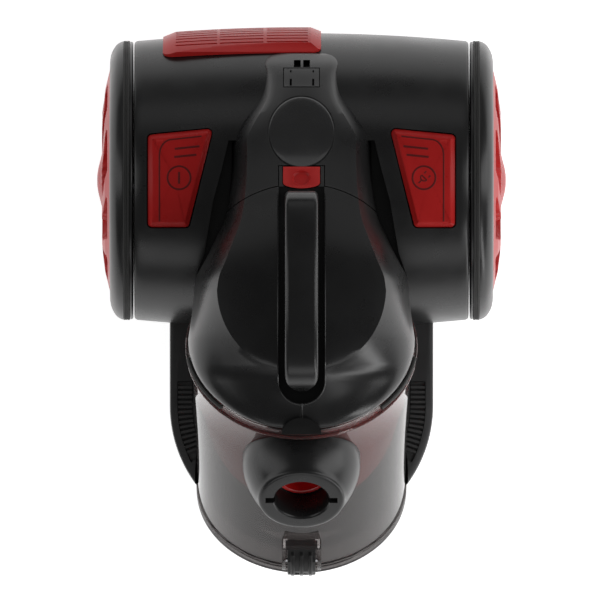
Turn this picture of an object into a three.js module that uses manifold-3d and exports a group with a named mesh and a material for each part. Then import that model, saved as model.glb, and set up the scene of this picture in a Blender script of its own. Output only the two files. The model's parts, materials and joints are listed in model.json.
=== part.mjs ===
// Bagless cyclonic cylinder vacuum cleaner on two large wheels and a front caster.
// Millimetres, +Z up, the hose end faces -Y, the floor is z = 0.

import * as THREE from 'three';
import { mergeVertices } from 'three/addons/utils/BufferGeometryUtils.js';
import { ConvexGeometry } from 'three/addons/geometries/ConvexGeometry.js';
import { LoftGeometry } from 'three/addons/geometries/LoftGeometry.js';
import Module from 'manifold-3d';

const wasm = await Module();
wasm.setup();

// ---------------------------------------------------------------- driving dimensions

const GAP = 0.4;                       // fitting gap between neighbouring mouldings
const WALL = 3;                        // housing wall

const WHEEL_RADIUS = 100;
const AXLE_Y = 86;                     // wheel and drum axis
const AXLE_Z = WHEEL_RADIUS;
const WHEEL_INNER_X = 120.5;
const WHEEL_OUTER_X = 137;
const HUB_RADIUS = 81.5;

const DRUM_HALF = 119.5;               // half length of the barrel shaped motor body
const DRUM_RADIUS = 105.5;             // at the middle
const DRUM_CROWN = 5.8;                // how much slimmer it is at its ends
const UNDERSIDE_Z = 14;
const SPLIT_Z = 98;                    // joint between the lower and upper housings

const TUB_HALF = 94.4;                 // chassis that carries the dust bin
const TUB_CENTRE_Y = -75.6;
const TUB_TOP_Z = 97;
const TUB_FALL = 25 / 170;             // slope of its deck towards the front

const RECESS_FLOOR_Z = 175;            // saddle in the drum for the lid

const BIN_TILT = 38;                   // degrees, leaning back
const BIN_BASE = new THREE.Vector3(0, -131.2, 76);
const BIN_HEIGHT = 165;
const BIN_BASE_RADIUS = 73.8;
const BIN_TOP_RADIUS = 78.4;
const BIN_WALL = 2.2;
const LID_RING_RADIUS = 81.5;
const LID_RING_TOP = 194;              // up the bin's axis, where the lid's rear floor starts
const LIFT_TILT = 15;                  // degrees, the bin leaves up and forwards
const LIFT_SWEEP = 200;

const INLET_HEIGHT = 112.5;            // hose inlet axis on the bin axis
const INLET_RISE = 3;                  // degrees
const HOSE_BORE_RADIUS = 19;

const TRENCH_HALF = 16.3;              // groove along the lid under the handle
const TRENCH_END_Y = -57;
const TRENCH_FLOOR_Z = 245;
const HANDLE_HALF = 11.8;

const CASTER_Y = -138;
const CASTER_RADIUS = 14;
const CASTER_TRAIL = 9;

const MOTOR_X = -5;
const MOTOR_Z = 88;
const REEL_Z = 98;

const PEDAL_RISE = 1.2;
const GRILLE_RISE = 4.3;

// ---------------------------------------------------------------- finishes

const finish = (color, roughness, metalness = 0) => ({ color, roughness, metalness });
const BLACK_GLOSS = finish(0x1b1b1c, 0.28);
const BLACK_SATIN = finish(0x222223, 0.5);
const RED_GLOSS = finish(0x7a1416, 0.3);
const SMOKED_CLEAR = { color: 0x6f6a6a, roughness: 0.12, metalness: 0, transparent: true, opacity: 0.45 };
const RUBBER = finish(0x191919, 0.85);
const STEEL = finish(0x9a9da1, 0.35, 0.9);
const FOAM = finish(0x3b3d42, 0.95);
const PAPER = finish(0xd8d5ca, 0.9);
const BOARD_GREEN = finish(0x1f5a38, 0.6);

// ---------------------------------------------------------------- solids and meshes

const rad = THREE.MathUtils.degToRad;

function solid(geometry) {
  const bare = geometry.index ? geometry.toNonIndexed() : geometry.clone();
  bare.deleteAttribute('normal');
  bare.deleteAttribute('uv');
  const merged = mergeVertices(bare, 1e-4);
  const at = merged.attributes.position;
  const corners = merged.index.array;
  const faces = [];
  const a = new THREE.Vector3();
  const b = new THREE.Vector3();
  const c = new THREE.Vector3();
  let volume = 0;
  for (let i = 0; i < corners.length; i += 3) {
    const [p, q, r] = corners.slice(i, i + 3);
    if (p === q || q === r || r === p) continue;
    a.fromBufferAttribute(at, p);
    b.fromBufferAttribute(at, q);
    c.fromBufferAttribute(at, r);
    volume += a.dot(b.cross(c));
    faces.push([p, q, r]);
  }
  const ordered = volume < 0 ? faces.map(([p, q, r]) => [p, r, q]) : faces;
  return new wasm.Manifold(new wasm.Mesh({
    numProp: 3,
    vertProperties: new Float32Array(at.array),
    triVerts: new Uint32Array(ordered.flat()),
  }));
}

function toMesh(name, body, look) {
  const { vertProperties, triVerts } = body.getMesh();
  const geometry = new THREE.BufferGeometry();
  geometry.setAttribute('position', new THREE.BufferAttribute(new Float32Array(vertProperties), 3));
  geometry.setIndex(new THREE.BufferAttribute(new Uint32Array(triVerts), 1));
  const mesh = new THREE.Mesh(geometry, new THREE.MeshStandardMaterial(look));
  mesh.name = name;
  return mesh;
}

const joined = (...bodies) => bodies.reduce((sum, body) => sum.add(body));

function box(x0, x1, y0, y1, z0, z1) {
  const geometry = new THREE.BoxGeometry(x1 - x0, y1 - y0, z1 - z0);
  return solid(geometry.translate((x0 + x1) / 2, (y0 + y1) / 2, (z0 + z1) / 2));
}

const points2 = (pairs) => pairs.map(([u, v]) => new THREE.Vector2(u, v));

// A profile of [radius, height] pairs turned about an axis. It starts and ends on the
// axis, or is closed on itself here.
function turned(axis, pairs, segments = 32) {
  const profile = points2(pairs);
  const onAxis = pairs[0][0] === 0 && pairs[pairs.length - 1][0] === 0;
  if (!onAxis) profile.push(profile[0].clone());
  const geometry = new THREE.LatheGeometry(profile, segments);
  if (axis === 'x') geometry.rotateZ(-Math.PI / 2);
  if (axis === 'z') geometry.rotateX(Math.PI / 2);
  return geometry;
}

function rod(axis, radius, start, end, centre = [0, 0, 0], segments = 16) {
  const profile = [[0, start], [radius, start], [radius, end], [0, end]];
  return solid(turned(axis, profile, segments).translate(...centre));
}

function ring(axis, inner, outer, start, end, centre = [0, 0, 0], segments = 32) {
  const profile = [[inner, start], [outer, start], [outer, end], [inner, end]];
  return solid(turned(axis, profile, segments).translate(...centre));
}

// A plan outline (x, y) raised from z0 to z1.
function prism(shape, z0, z1, curveSegments = 12) {
  const geometry = new THREE.ExtrudeGeometry(shape, { depth: z1 - z0, bevelEnabled: false, curveSegments });
  return solid(geometry.translate(0, 0, z0));
}

// A side outline (y, z) drawn across from x0 to x1.
function crossways(shape, x0, x1, options = {}) {
  const settings = { depth: x1 - x0, bevelEnabled: false, ...options };
  const geometry = new THREE.ExtrudeGeometry(shape, settings);
  const turn = new THREE.Matrix4().makeBasis(
    new THREE.Vector3(0, 1, 0), new THREE.Vector3(0, 0, 1), new THREE.Vector3(1, 0, 0));
  return solid(geometry.applyMatrix4(turn).translate(x0, 0, 0));
}

const outline = (pairs) => new THREE.Shape(points2(pairs));

// A smooth curve through a table of [position, value] rows.
function along(table, at) {
  const last = table.length - 1;
  if (at <= table[0][0]) return table[0][1];
  if (at >= table[last][0]) return table[last][1];
  const i = table.findIndex(([position]) => position > at) - 1;
  const slope = (k) => {
    const before = table[Math.max(k - 1, 0)];
    const after = table[Math.min(k + 1, last)];
    return (after[1] - before[1]) / (after[0] - before[0]);
  };
  const [x0, y0] = table[i];
  const [x1, y1] = table[i + 1];
  const span = x1 - x0;
  const t = (at - x0) / span;
  const bend = (2 * t - 3) * t * t;
  return y0 * (1 + bend) - y1 * bend
    + span * t * (1 - t) * ((1 - t) * slope(i) - t * slope(i + 1));
}

// The bin's own frame: z up the bin's axis, -y its raised front.
const binFrame = new THREE.Matrix4()
  .makeRotationX(rad(-BIN_TILT))
  .setPosition(BIN_BASE);
const inBinFrame = (geometry) => solid(geometry.applyMatrix4(binFrame));

const liftDirection = new THREE.Vector3(0, -Math.sin(rad(LIFT_TILT)), Math.cos(rad(LIFT_TILT)));

// Everything that a solid of the bin passes through as the bin is lifted out.
function swept(localPoints) {
  const points = [];
  for (const local of localPoints) {
    const start = local.clone().applyMatrix4(binFrame);
    points.push(start, start.clone().addScaledVector(liftDirection, LIFT_SWEEP));
  }
  return solid(new ConvexGeometry(points));
}

function circle(radius, z, count = 28) {
  return Array.from({ length: count }, (_, i) => {
    const angle = (i / count) * 2 * Math.PI;
    return new THREE.Vector3(radius * Math.cos(angle), radius * Math.sin(angle), z);
  });
}

// ---------------------------------------------------------------- drum and chassis

const drumRadius = (x) => DRUM_RADIUS - DRUM_CROWN * (x / DRUM_HALF) ** 2;

// The barrel, grown or shrunk by an amount all round.
function barrel(grow, segments = 32) {
  const half = DRUM_HALF + Math.min(grow, 0);
  const strips = 4;
  const edge = 2;
  const profile = [[0, -half], [drumRadius(half) + grow - edge, -half]];
  for (let i = 0; i <= strips; i += 1) {
    const x = (half - edge) * (2 * i / strips - 1);
    profile.push([drumRadius(x) + grow, x]);
  }
  profile.push([drumRadius(half) + grow - edge, half], [0, half]);
  return solid(turned('x', profile, segments).translate(0, AXLE_Y, AXLE_Z));
}

function tub(inset) {
  const half = TUB_HALF - inset;
  const shape = new THREE.Shape();
  shape.moveTo(half, 60);
  shape.lineTo(-half, 60);
  shape.lineTo(-half, TUB_CENTRE_Y);
  shape.absarc(0, TUB_CENTRE_Y, half, Math.PI, 2 * Math.PI, false);
  const front = TUB_CENTRE_Y - TUB_HALF + inset;
  const deck = (y) => TUB_TOP_Z + TUB_FALL * y - inset;
  const floor = UNDERSIDE_Z + inset;
  const side = outline([
    [front - 1, floor + 10], [front + 11, floor], [61, floor],
    [61, deck(0)], [0, deck(0)], [front - 1, deck(front)],
  ]);
  return prism(shape, floor, TUB_TOP_Z, 12).intersect(crossways(side, -120, 120));
}

// The well that the bin stands in and is lifted out of.
function binWell(grow) {
  const floor = -8.5 - grow;
  const cup = swept([...circle(76.2 + grow, floor), ...circle(80 + grow, 160)]);
  const lidRing = swept([...circle(83.5 + grow, 155 - grow), ...circle(83.5 + grow, LID_RING_TOP)]);
  const hingePoints = [];
  for (const x of [-27 - grow, 27 + grow]) {
    for (const y of [50, 82 + grow]) {
      for (const z of [floor, 20]) hingePoints.push(new THREE.Vector3(x, y, z));
    }
  }
  return joined(cup, lidRing, swept(hingePoints));
}

// The saddle in the drum's top that the lid's rear and the cover's front lie in.
function saddle(grow) {
  const half = [[52, 114], [57, 93], [63, 71], [69.5, 33], [75, 18], [82, -10], [84, -40]];
  const right = half.map(([x, y]) => [x + grow, y === 114 ? y + grow : y]);
  const left = right.map(([x, y]) => [-x, y]).reverse();
  return prism(outline([...right, ...left]), RECESS_FLOOR_Z - grow, 240);
}

const exhaustOpening = box(-93, 8, 150, 210, 66, 134);

// The outer body without its hollow, in one piece.
const bodyOuter = joined(barrel(0), tub(0))
  .subtract(box(-200, 200, -200, 260, -20, UNDERSIDE_Z))
  .subtract(binWell(0))
  .subtract(saddle(0));

const bodyInner = joined(barrel(-WALL), tub(WALL))
  .subtract(box(-200, 200, -200, 260, -20, UNDERSIDE_Z + WALL))
  .subtract(binWell(WALL))
  .subtract(saddle(WALL));

const TOWER_X = 111.5;
const TOWER_YS = [35, 137];
const towerPlaces = [-1, 1].flatMap((side) => TOWER_YS.map((y) => [side * TOWER_X, y]));

const PORT_Y = 69;                     // air port through the saddle floor
const PORT_HALF = 9.5;
const port = box(-25, 25, PORT_Y - PORT_HALF, PORT_Y + PORT_HALF, RECESS_FLOOR_Z - 6, RECESS_FLOOR_Z + 1);

function axleHoles() {
  return rod('x', 6.4, -DRUM_HALF - 1, DRUM_HALF + 1, [0, AXLE_Y, AXLE_Z])
    .subtract(box(-100, 100, 60, 110, 80, 120));
}

function lowerHousing() {
  const shell = bodyOuter.subtract(bodyInner);
  const towers = towerPlaces.map(([x, y]) => rod('z', 4.5, 12, 130, [x, y, 0], 10));
  const motorCradles = [70, 128].map((y) => box(-62, 50, y, y + WALL, 10, 80));
  const reelPlate = box(50, 53, 56, 116, 10, 120);
  const casterWell = rod('z', 28, 10, 39, [0, CASTER_Y, 0], 24);
  const stemBoss = rod('z', 9, 30, 55, [0, CASTER_Y, 0]);
  const solidBody = joined(shell, ...towers, ...motorCradles, reelPlate, casterWell, stemBoss)
    .intersect(bodyOuter)
    .subtract(rod('y', 50.4, 40, 150, [MOTOR_X, 0, MOTOR_Z], 24))
    .subtract(rod('x', 5.4, 40, 60, [0, AXLE_Y, REEL_Z]))
    .subtract(rod('z', 25, 0, 36, [0, CASTER_Y, 0], 24))
    .subtract(rod('z', 5.4, 30, 60, [0, CASTER_Y, 0]))
    .subtract(axleHoles())
    .subtract(exhaustOpening)
    .subtract(rod('y', 12.4, 160, 200, [70, 0, 60]));
  const drilled = towerPlaces.reduce((body, [x, y]) => body
    .subtract(rod('z', 2, 0, 140, [x, y, 0], 8))
    .subtract(rod('z', 4, 0, 20, [x, y, 0], 10)), solidBody);
  return drilled
    .subtract(box(-200, 200, -250, 260, SPLIT_Z - GAP / 2, 400))
    .subtract(louverSeat(-1))
    .subtract(louverSeat(1));
}

function upperHousing() {
  const shell = bodyOuter.subtract(bodyInner);
  const towers = towerPlaces.map(([x, y]) => rod('z', 4.5, 60, 190, [x, y, 0], 10));
  const springShelves = [-1, 1].map((side) => {
    const [near, far] = [side * 54, side * 82].sort((a, b) => a - b);
    return box(near, far, 93, 107, RECESS_FLOOR_Z - WALL, RECESS_FLOOR_Z);
  });
  const brakePivot = rod('x', 3, 96, 118, [0, 95, 165], 12);
  const blank = joined(shell, ...towers, ...springShelves, brakePivot)
    .intersect(bodyOuter)
    .subtract(port)
    .subtract(axleHoles())
    .subtract(exhaustOpening)
    .subtract(pedalOpening(-1))
    .subtract(pedalOpening(1));
  const drilled = towerPlaces.reduce((body, [x, y]) => body
    .subtract(rod('z', 2, 60, 116, [x, y, 0], 8)), blank);
  return drilled.subtract(box(-200, 200, -250, 260, -20, SPLIT_Z + GAP / 2));
}

// Louvred strips let into the deck on both sides of the bin.
const LOUVER_INNER = 78.2;
const LOUVER_OUTER = 88.5;
const LOUVER_DEPTH = 3;

function louverStrip(side, inner, outer, rear, z0, z1) {
  const shape = new THREE.Shape();
  const sweep = rad(27);
  const start = side > 0 ? 0 : Math.PI;
  const end = side > 0 ? -sweep : Math.PI + sweep;
  shape.moveTo(side * inner, rear);
  shape.lineTo(side * outer, rear);
  shape.lineTo(side * outer, TUB_CENTRE_Y);
  shape.absarc(0, TUB_CENTRE_Y, outer, start, end, side > 0);
  shape.absarc(0, TUB_CENTRE_Y, inner, end, start, side < 0);
  return prism(shape, z0, z1, 4);
}

const deckSlab = (low, high) => {
  const z = (y) => TUB_TOP_Z + TUB_FALL * y;
  return crossways(outline([
    [-180, z(-180) + low], [0, z(0) + low], [0, z(0) + high], [-180, z(-180) + high],
  ]), -120, 120);
};

function louverSeat(side) {
  return louverStrip(side, LOUVER_INNER - GAP, LOUVER_OUTER + GAP, -58, 40, 120)
    .intersect(deckSlab(-LOUVER_DEPTH, 10));
}

function louver(side) {
  const strip = (low, high) => louverStrip(side, LOUVER_INNER, LOUVER_OUTER, -58.4, 40, 120)
    .intersect(deckSlab(low, high));
  const base = strip(-LOUVER_DEPTH + 0.3, -1.4);
  const ribs = [];
  const pitch = 5.4;
  const centre = (LOUVER_INNER + LOUVER_OUTER) / 2;
  for (let i = 0; i < 9; i += 1) {
    const run = i * pitch;
    const straight = -61 - TUB_CENTRE_Y;
    const blade = new THREE.BoxGeometry(LOUVER_OUTER - LOUVER_INNER + 2, 2.2, 80);
    blade.translate(side * centre, 0, 80);
    if (run < straight) blade.translate(0, -61 - run, 0);
    else {
      blade.rotateZ(-side * (run - straight) / centre);
      blade.translate(0, TUB_CENTRE_Y, 0);
    }
    ribs.push(solid(blade));
  }
  return base.add(joined(...ribs).intersect(strip(-2, 0.8))).subtract(binWell(0.2));
}

// ---------------------------------------------------------------- pedals

function pedalShape(side, grow) {
  const corners = [
    [109.5 + grow, 118 + grow], [62.9 - grow, 122.6 + grow],
    [80.6 - grow, 52.2 - grow], [109.5 + grow, 52.2 - grow],
  ];
  return outline(corners.map(([x, y]) => [side * x, y]));
}

const pedalOpening = (side) => prism(pedalShape(side, 0.8), 176, 215);

function pedal(side) {
  const plate = prism(pedalShape(side, -4), 150, 215)
    .intersect(barrel(PEDAL_RISE).subtract(barrel(-2.4)));
  const skirt = prism(pedalShape(side, 0), 150, 215)
    .intersect(barrel(-0.6).subtract(barrel(-2.6)));
  const stemX = side * 101;
  const stem = box(stemX - 2.5, stemX + 2.5, 109.5, 114.5, 168.4, 197);
  const lugs = [86, 100].map((x) => {
    const [near, far] = [side * x, side * (x + 4)].sort((a, b) => a - b);
    return crossways(outline([[53, 194.6], [53, 186], [59, 186], [63, 197.6]]), near, far);
  });
  return joined(plate, skirt, stem, ...lugs);
}

const pedalSpring = (side) => ring('z', 2.8, 4, RECESS_FLOOR_Z + 0.3, 197.8, [side * 77, 100, 0], 10);

// ---------------------------------------------------------------- exhaust

const GRILLE_X = [-99, 14];
const GRILLE_ARC = [59, 121];          // degrees from the top towards the rear

function radialBox(x0, x1, thickness, angle, r0 = 90, r1 = 130) {
  const geometry = new THREE.BoxGeometry(x1 - x0, thickness, r1 - r0);
  geometry.translate((x0 + x1) / 2, 0, (r0 + r1) / 2);
  geometry.rotateX(-rad(angle));
  return solid(geometry.translate(0, AXLE_Y, AXLE_Z));
}

// A wedge of the drum between two angles and two stations.
function sector(x0, x1, from, to) {
  const reach = 150;
  const corner = (angle) => [AXLE_Y + reach * Math.sin(rad(angle)), AXLE_Z + reach * Math.cos(rad(angle))];
  return crossways(outline([[AXLE_Y, AXLE_Z], corner(from), corner((from + to) / 2), corner(to)]), x0, x1);
}

function exhaustGrille() {
  const [left, right] = GRILLE_X;
  const [from, to] = GRILLE_ARC;
  const bevel = 4;
  const turn = 4;
  const rim = barrel(GRILLE_RISE - 2).subtract(barrel(0.35)).intersect(sector(left, right, from, to));
  const crown = barrel(GRILLE_RISE).subtract(barrel(0.35))
    .intersect(sector(left + bevel, right - bevel, from + turn, to - turn));
  const slots = [];
  const rows = 6;
  for (const [x0, x1] of [[-90, -60], [-58, -28], [-25, 5]]) {
    for (let row = 0; row < rows; row += 1) {
      slots.push(radialBox(x0, x1, 4, 67.5 + row * 9));
    }
  }
  return rim.add(crown).subtract(joined(...slots));
}

const exhaustFilter = () => box(-90, 5, 156, 172, 67, 133);

// ---------------------------------------------------------------- motor and air path

function motorHousing() {
  const tube = ring('y', 47.5, 50, 46, 150, [MOTOR_X, 0, MOTOR_Z], 24);
  const front = rod('y', 50, 43, 46.5, [MOTOR_X, 0, MOTOR_Z], 24);
  const chimney = box(-25, 25, PORT_Y - PORT_HALF, PORT_Y + PORT_HALF, 110, 171.6);
  const flue = box(-22.5, 22.5, PORT_Y - 7.2, PORT_Y + 7.2, 90, 180);
  const bore = rod('y', 47.5, 46.5, 152, [MOTOR_X, 0, MOTOR_Z], 24);
  return joined(tube, front, chimney).subtract(bore).subtract(flue);
}

const fanCover = () => solid(turned('y', [
  [14, 79], [46.8, 79], [46.8, 97], [44.3, 97], [44.3, 81.5], [14, 81.5],
], 24).translate(MOTOR_X, 0, MOTOR_Z));

function impeller() {
  const disc = solid(turned('y', [[4.6, 84], [40, 93], [40, 95], [4.6, 95]], 18));
  const blades = [];
  const count = 5;
  for (let i = 0; i < count; i += 1) {
    const blade = new THREE.BoxGeometry(24, 6, 1.6);
    blade.rotateY(rad(25));
    blade.translate(24, 89, 0);
    blade.rotateY((i / count) * 2 * Math.PI);
    blades.push(solid(blade));
  }
  return joined(disc, ...blades).translate([MOTOR_X, 0, MOTOR_Z]);
}

const motorShaft = () => solid(turned('y', [
  [0, 82.5], [4.2, 82.5], [4.2, 104], [24, 104], [24, 134], [4.2, 134], [4.2, 146], [0, 146],
], 16).translate(MOTOR_X, 0, MOTOR_Z));

const motorCan = () => solid(turned('y', [
  [8, 98], [40, 98], [40, 144], [8, 144], [8, 141.5], [27, 141.5], [27, 100.5], [8, 100.5],
], 20).translate(MOTOR_X, 0, MOTOR_Z));

const motorMount = () => ring('y', 40.4, 46.8, 112, 120, [MOTOR_X, 0, MOTOR_Z], 24);

function inletGrille() {
  const plate = box(-24.6, 24.6, PORT_Y - PORT_HALF + GAP, PORT_Y + PORT_HALF - GAP, 172, 174.6);
  const slots = [];
  for (let i = 0; i < 4; i += 1) {
    const y = PORT_Y - 7.2 + i * 4;
    slots.push(box(-21, 21, y, y + 2.4, 170, 180));
  }
  return plate.subtract(joined(...slots));
}

const motorFilter = () => box(-22, 22, PORT_Y - 6.8, PORT_Y + 6.8, 146, 168);

// ---------------------------------------------------------------- electrics and cord reel

const controlBoard = () => box(-107, -105.4, 62, 128, 92, 160)
  .subtract(rod('x', 2, -110, -100, [0, 68, 152], 12));

function powerSwitch() {
  const block = box(-105, -88, 100, 124, 136, 158);
  return block.add(box(-103.5, -98.5, 109, 115, 157, 162.3));
}

function cordReel() {
  return solid(turned('x', [
    [5.6, 58], [60, 58], [60, 60], [24, 60], [24, 101.5], [60, 101.5], [60, 103.5], [5.6, 103.5],
  ], 20).translate(0, AXLE_Y, REEL_Z));
}

const reelAxle = () => rod('x', 5, 48, 106, [0, AXLE_Y, REEL_Z]);

function reelBrake() {
  const arm = box(98.5, 103.5, 64, 115, 163, 167);
  const boss = rod('x', 5.4, 98.5, 106, [0, 95, 165], 12);
  const shoe = box(98.5, 103.5, 64, 70, 156, 165);
  return joined(arm, boss, shoe).subtract(rod('x', 3.3, 90, 110, [0, 95, 165], 12));
}

const cordOutlet = () => solid(turned('y', [
  [5.5, 172], [12, 172], [12, 184], [10.5, 186], [7, 186],
], 16).translate(70, 0, 60));

// ---------------------------------------------------------------- wheels

const mirrorX = (pairs, side) => pairs.map(([r, x]) => [r, side * x]);

function wheel(side) {
  return solid(turned('x', mirrorX([
    [6.5, WHEEL_INNER_X], [99.3, WHEEL_INNER_X], [99.3, 122.6], [97.2, 122.6], [97.2, 129.4],
    [98.9, 129.4], [95.6, 134.2], [88, WHEEL_OUTER_X], [82.2, WHEEL_OUTER_X],
    [82.2, 124], [12, 124], [12, 136], [6.5, 136],
  ], side), 32).translate(0, AXLE_Y, AXLE_Z));
}

const tread = (side) => solid(turned('x', mirrorX([
  [97.6, 123], [WHEEL_RADIUS, 123.4], [WHEEL_RADIUS, 128.6], [97.6, 129],
], side), 32).translate(0, AXLE_Y, AXLE_Z));

function hubCover(side) {
  return solid(turned('x', mirrorX([
    [0, 146.4], [9, 145.5], [20, 142.6], [49, 142.6], [66, 140.5], [HUB_RADIUS, 137],
    [HUB_RADIUS, 130], [79, 130], [79, 134.4], [49, 140], [0, 143.4],
  ], side), 24).translate(0, AXLE_Y, AXLE_Z));
}

const axle = (side) => solid(turned('x', mirrorX([
  [0, 112.8], [10, 112.8], [10, 116.1], [6, 116.1], [6, 136.5], [9, 136.5], [9, 139], [0, 139],
], side), 14).translate(0, AXLE_Y, AXLE_Z));

function housingScrew([x, y]) {
  return solid(turned('z', [
    [0, 16.6], [3.6, 16.6], [3.6, 19.7], [1.7, 19.7], [1.7, 114], [0, 115.5],
  ], 8).translate(x, y, 0));
}

// ---------------------------------------------------------------- caster

const CASTER_WHEEL_Y = CASTER_Y + CASTER_TRAIL;

function casterFork() {
  const stem = rod('z', 5, 31, 51, [0, CASTER_Y, 0]);
  const plate = rod('z', 12, 30, 33.5, [0, CASTER_Y, 0]);
  const arm = outline([[-150, 33.5], [-150, 30], [-135, 9], [-123, 9], [-121, 30], [-121, 33.5]]);
  const legs = crossways(arm, -9.5, 9.5);
  const slot = crossways(outline([[-160, 0], [-100, 0], [-100, 30.2], [-160, 30.2]]), -6.8, 6.8);
  const reach = rod('z', 23, 0, 40, [0, CASTER_Y, 0], 20);
  return joined(stem, plate, legs.intersect(reach)).subtract(slot)
    .subtract(rod('x', 2.4, -20, 20, [0, CASTER_WHEEL_Y, CASTER_RADIUS], 10));
}

const casterWheel = () => solid(turned('x', [
  [2.5, -6], [12, -6], [CASTER_RADIUS, -4], [CASTER_RADIUS, 4], [12, 6], [2.5, 6],
], 20).translate(0, CASTER_WHEEL_Y, CASTER_RADIUS));

const casterAxle = () => rod('x', 2, -9.4, 9.4, [0, CASTER_WHEEL_Y, CASTER_RADIUS], 10);

// ---------------------------------------------------------------- canopy: lid and rear cover

const LID_CENTRE_Y = -27.5;            // plan centre of the bin's tilted top
const LID_FRONT_REACH = 64.2;
const HALF_WIDTH = [
  [LID_CENTRE_Y, 80.6], [-21, 79.7], [-3.2, 77.3], [15.7, 75.4], [28.5, 69], [44, 61.3],
  [60.4, 54], [84, 50.5], [100, 49.7], [114, 49.4], [120, 47.5], [130.5, 40], [143.4, 30.4],
  [152, 27.2], [162, 26.3], [170, 27.4], [175, 25], [177, 20],
];
const CREST = [
  [-92, 264.5], [-80, 271.5], [-66, 277.5], [-52, 281.5], [-30, 284.5], [0, 283.5], [30, 276],
  [60, 262], [84, 247.5], [110, 230], [135, 209.5], [155, 190], [168, 175], [177, 158],
];
const REAR_EDGE = [[10, 186], [114, 186], [130, 190], [150, 178], [170, 158], [177, 150]];

function edgeHeight(y) {
  const lidPlane = 208.7 - (y - LID_CENTRE_Y) * Math.tan(rad(BIN_TILT)) + 6;
  return y < 10 ? Math.max(lidPlane, 186) : along(REAR_EDGE, y);
}

// Half width of the flatter top inside the crease.
function plateauHalf(y) {
  if (y < 9) return 60 * Math.sqrt(Math.max(0, 1 - ((y - 9) / 61) ** 2));
  return 0.78 * along(HALF_WIDTH, y);
}

function canopySection(y, half, inset) {
  const shoulder = Math.max(Math.min(plateauHalf(y), half - 6), 1);
  const crown = shoulder > 8 ? 4 : 0.5;
  const top = along(CREST, y) - inset;
  const brow = top - crown;
  const edge = Math.min(edgeHeight(y), top + inset - 3) - inset;
  const right = [[half, 130], [half, edge]];
  const bevelSteps = 3;
  const startAngle = rad(28);
  for (let i = 1; i <= bevelSteps; i += 1) {
    const angle = Math.PI / 2 - (Math.PI / 2 - startAngle) * (i / bevelSteps);
    const across = (Math.sin(angle) - Math.sin(startAngle)) / (1 - Math.sin(startAngle));
    const up = Math.cos(angle) / Math.cos(startAngle);
    right.push([shoulder + (half - shoulder) * across, edge + (brow - edge) * up]);
  }
  right.push([shoulder * 0.55, top - crown * 0.3]);
  const left = right.map(([x, z]) => [-x, z]).reverse();
  return [...right, [0, top], ...left].reverse().map(([x, z]) => new THREE.Vector3(x, y, z));
}

function canopy(inset) {
  const reach = LID_FRONT_REACH - inset;
  const ringHalf = 80.6 - inset;
  const sections = [86, 72, 58, 44, 30, 15].map((angle) => canopySection(
    LID_CENTRE_Y - reach * Math.sin(rad(angle)), ringHalf * Math.cos(rad(angle)), inset));
  const rear = [-27, -10, 8, 24, 40, 58, 76, 95, 114, 124, 134, 146, 158, 168, 174, 177];
  for (const y of rear) {
    if (y + inset > 178) continue;
    sections.push(canopySection(y, along(HALF_WIDTH, y) - inset, inset));
  }
  return solid(new LoftGeometry(sections, { capStart: true, capEnd: true }));
}

// Plan of the lid behind the bin: the parting arc, and the tongue that carries the button.
const TONGUE_END_Y = 95.5;

function lidPlan(grow) {
  const arc = new THREE.Shape();
  arc.absellipse(0, 11.8, 76.5 + grow, 70.8 + grow, 0, 2 * Math.PI, false, 0);
  const tongue = box(-16 - grow, 16 + grow, 60, TONGUE_END_Y + grow, 150, 340);
  return joined(prism(arc, 150, 340, 28), box(-110, 110, -110, 11.8, 150, 340), tongue);
}

function trench(grow) {
  const half = TRENCH_HALF + grow;
  const shape = new THREE.Shape();
  shape.moveTo(half, 81);
  shape.lineTo(-half, 81);
  shape.lineTo(-half, TRENCH_END_Y);
  shape.absarc(0, TRENCH_END_Y, half, Math.PI, 2 * Math.PI, false);
  return prism(shape, TRENCH_FLOOR_Z - grow, 340, 7);
}

const LID_FOOT = BIN_HEIGHT + GAP;
const EXTENSION_Z = RECESS_FLOOR_Z + 3.3;
const canopyOuter = canopy(0);
const canopyInner = canopy(WALL);

function overBin(radius, foot) {
  const top = LID_RING_TOP;
  return inBinFrame(turned('z', [[0, foot], [radius, foot], [radius, top], [0, top]], 32));
}

function buttonOutline(half, front, rear) {
  const shape = new THREE.Shape();
  shape.moveTo(half, rear);
  shape.lineTo(-half, rear);
  shape.lineTo(-half, front + 4);
  shape.absellipse(0, front + 4, half, 4, Math.PI, 2 * Math.PI, false, 0);
  return shape;
}

function binLid() {
  const region = overBin(LID_RING_RADIUS, LID_FOOT).add(box(-110, 110, -110, 120, EXTENSION_Z, 340));
  const abovePlane = inBinFrame(new THREE.BoxGeometry(300, 400, 300).translate(0, 60, LID_FOOT + 150));
  const outer = canopyOuter.intersect(lidPlan(0)).intersect(region).intersect(abovePlane);
  const hollowRegion = overBin(LID_RING_RADIUS - WALL, 120)
    .add(box(-110, 110, -110, 120, EXTENSION_Z + WALL, 340).intersect(abovePlane));
  const hollow = canopyInner.intersect(lidPlan(-WALL)).intersect(hollowRegion).subtract(trench(2.5));
  const buttonCup = box(-16, 16, 74, TONGUE_END_Y, 222, 300).intersect(canopyOuter);
  const airPort = box(-23, 23, PORT_Y - 7, PORT_Y + 7, EXTENSION_Z - 5, EXTENSION_Z + 8);
  return outer.subtract(hollow).add(buttonCup)
    .subtract(trench(0))
    .subtract(prism(buttonOutline(13.6, 79.2, 97), 225.5, 300, 8))
    .subtract(airPort);
}

function releaseButton() {
  const slope = outline([[70, 236], [100, 236], [100, 238], [70, 257.5]]);
  const dimple = new THREE.SphereGeometry(14, 20, 14).translate(0, 88, 258.6);
  return prism(buttonOutline(13.1, 79.7, 95.1), 236, 260, 8)
    .intersect(crossways(slope, -20, 20))
    .subtract(solid(dimple));
}

const releaseSpring = () => ring('z', 3, 4.4, 225.9, 235.7, [0, 88, 0], 10);

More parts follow.
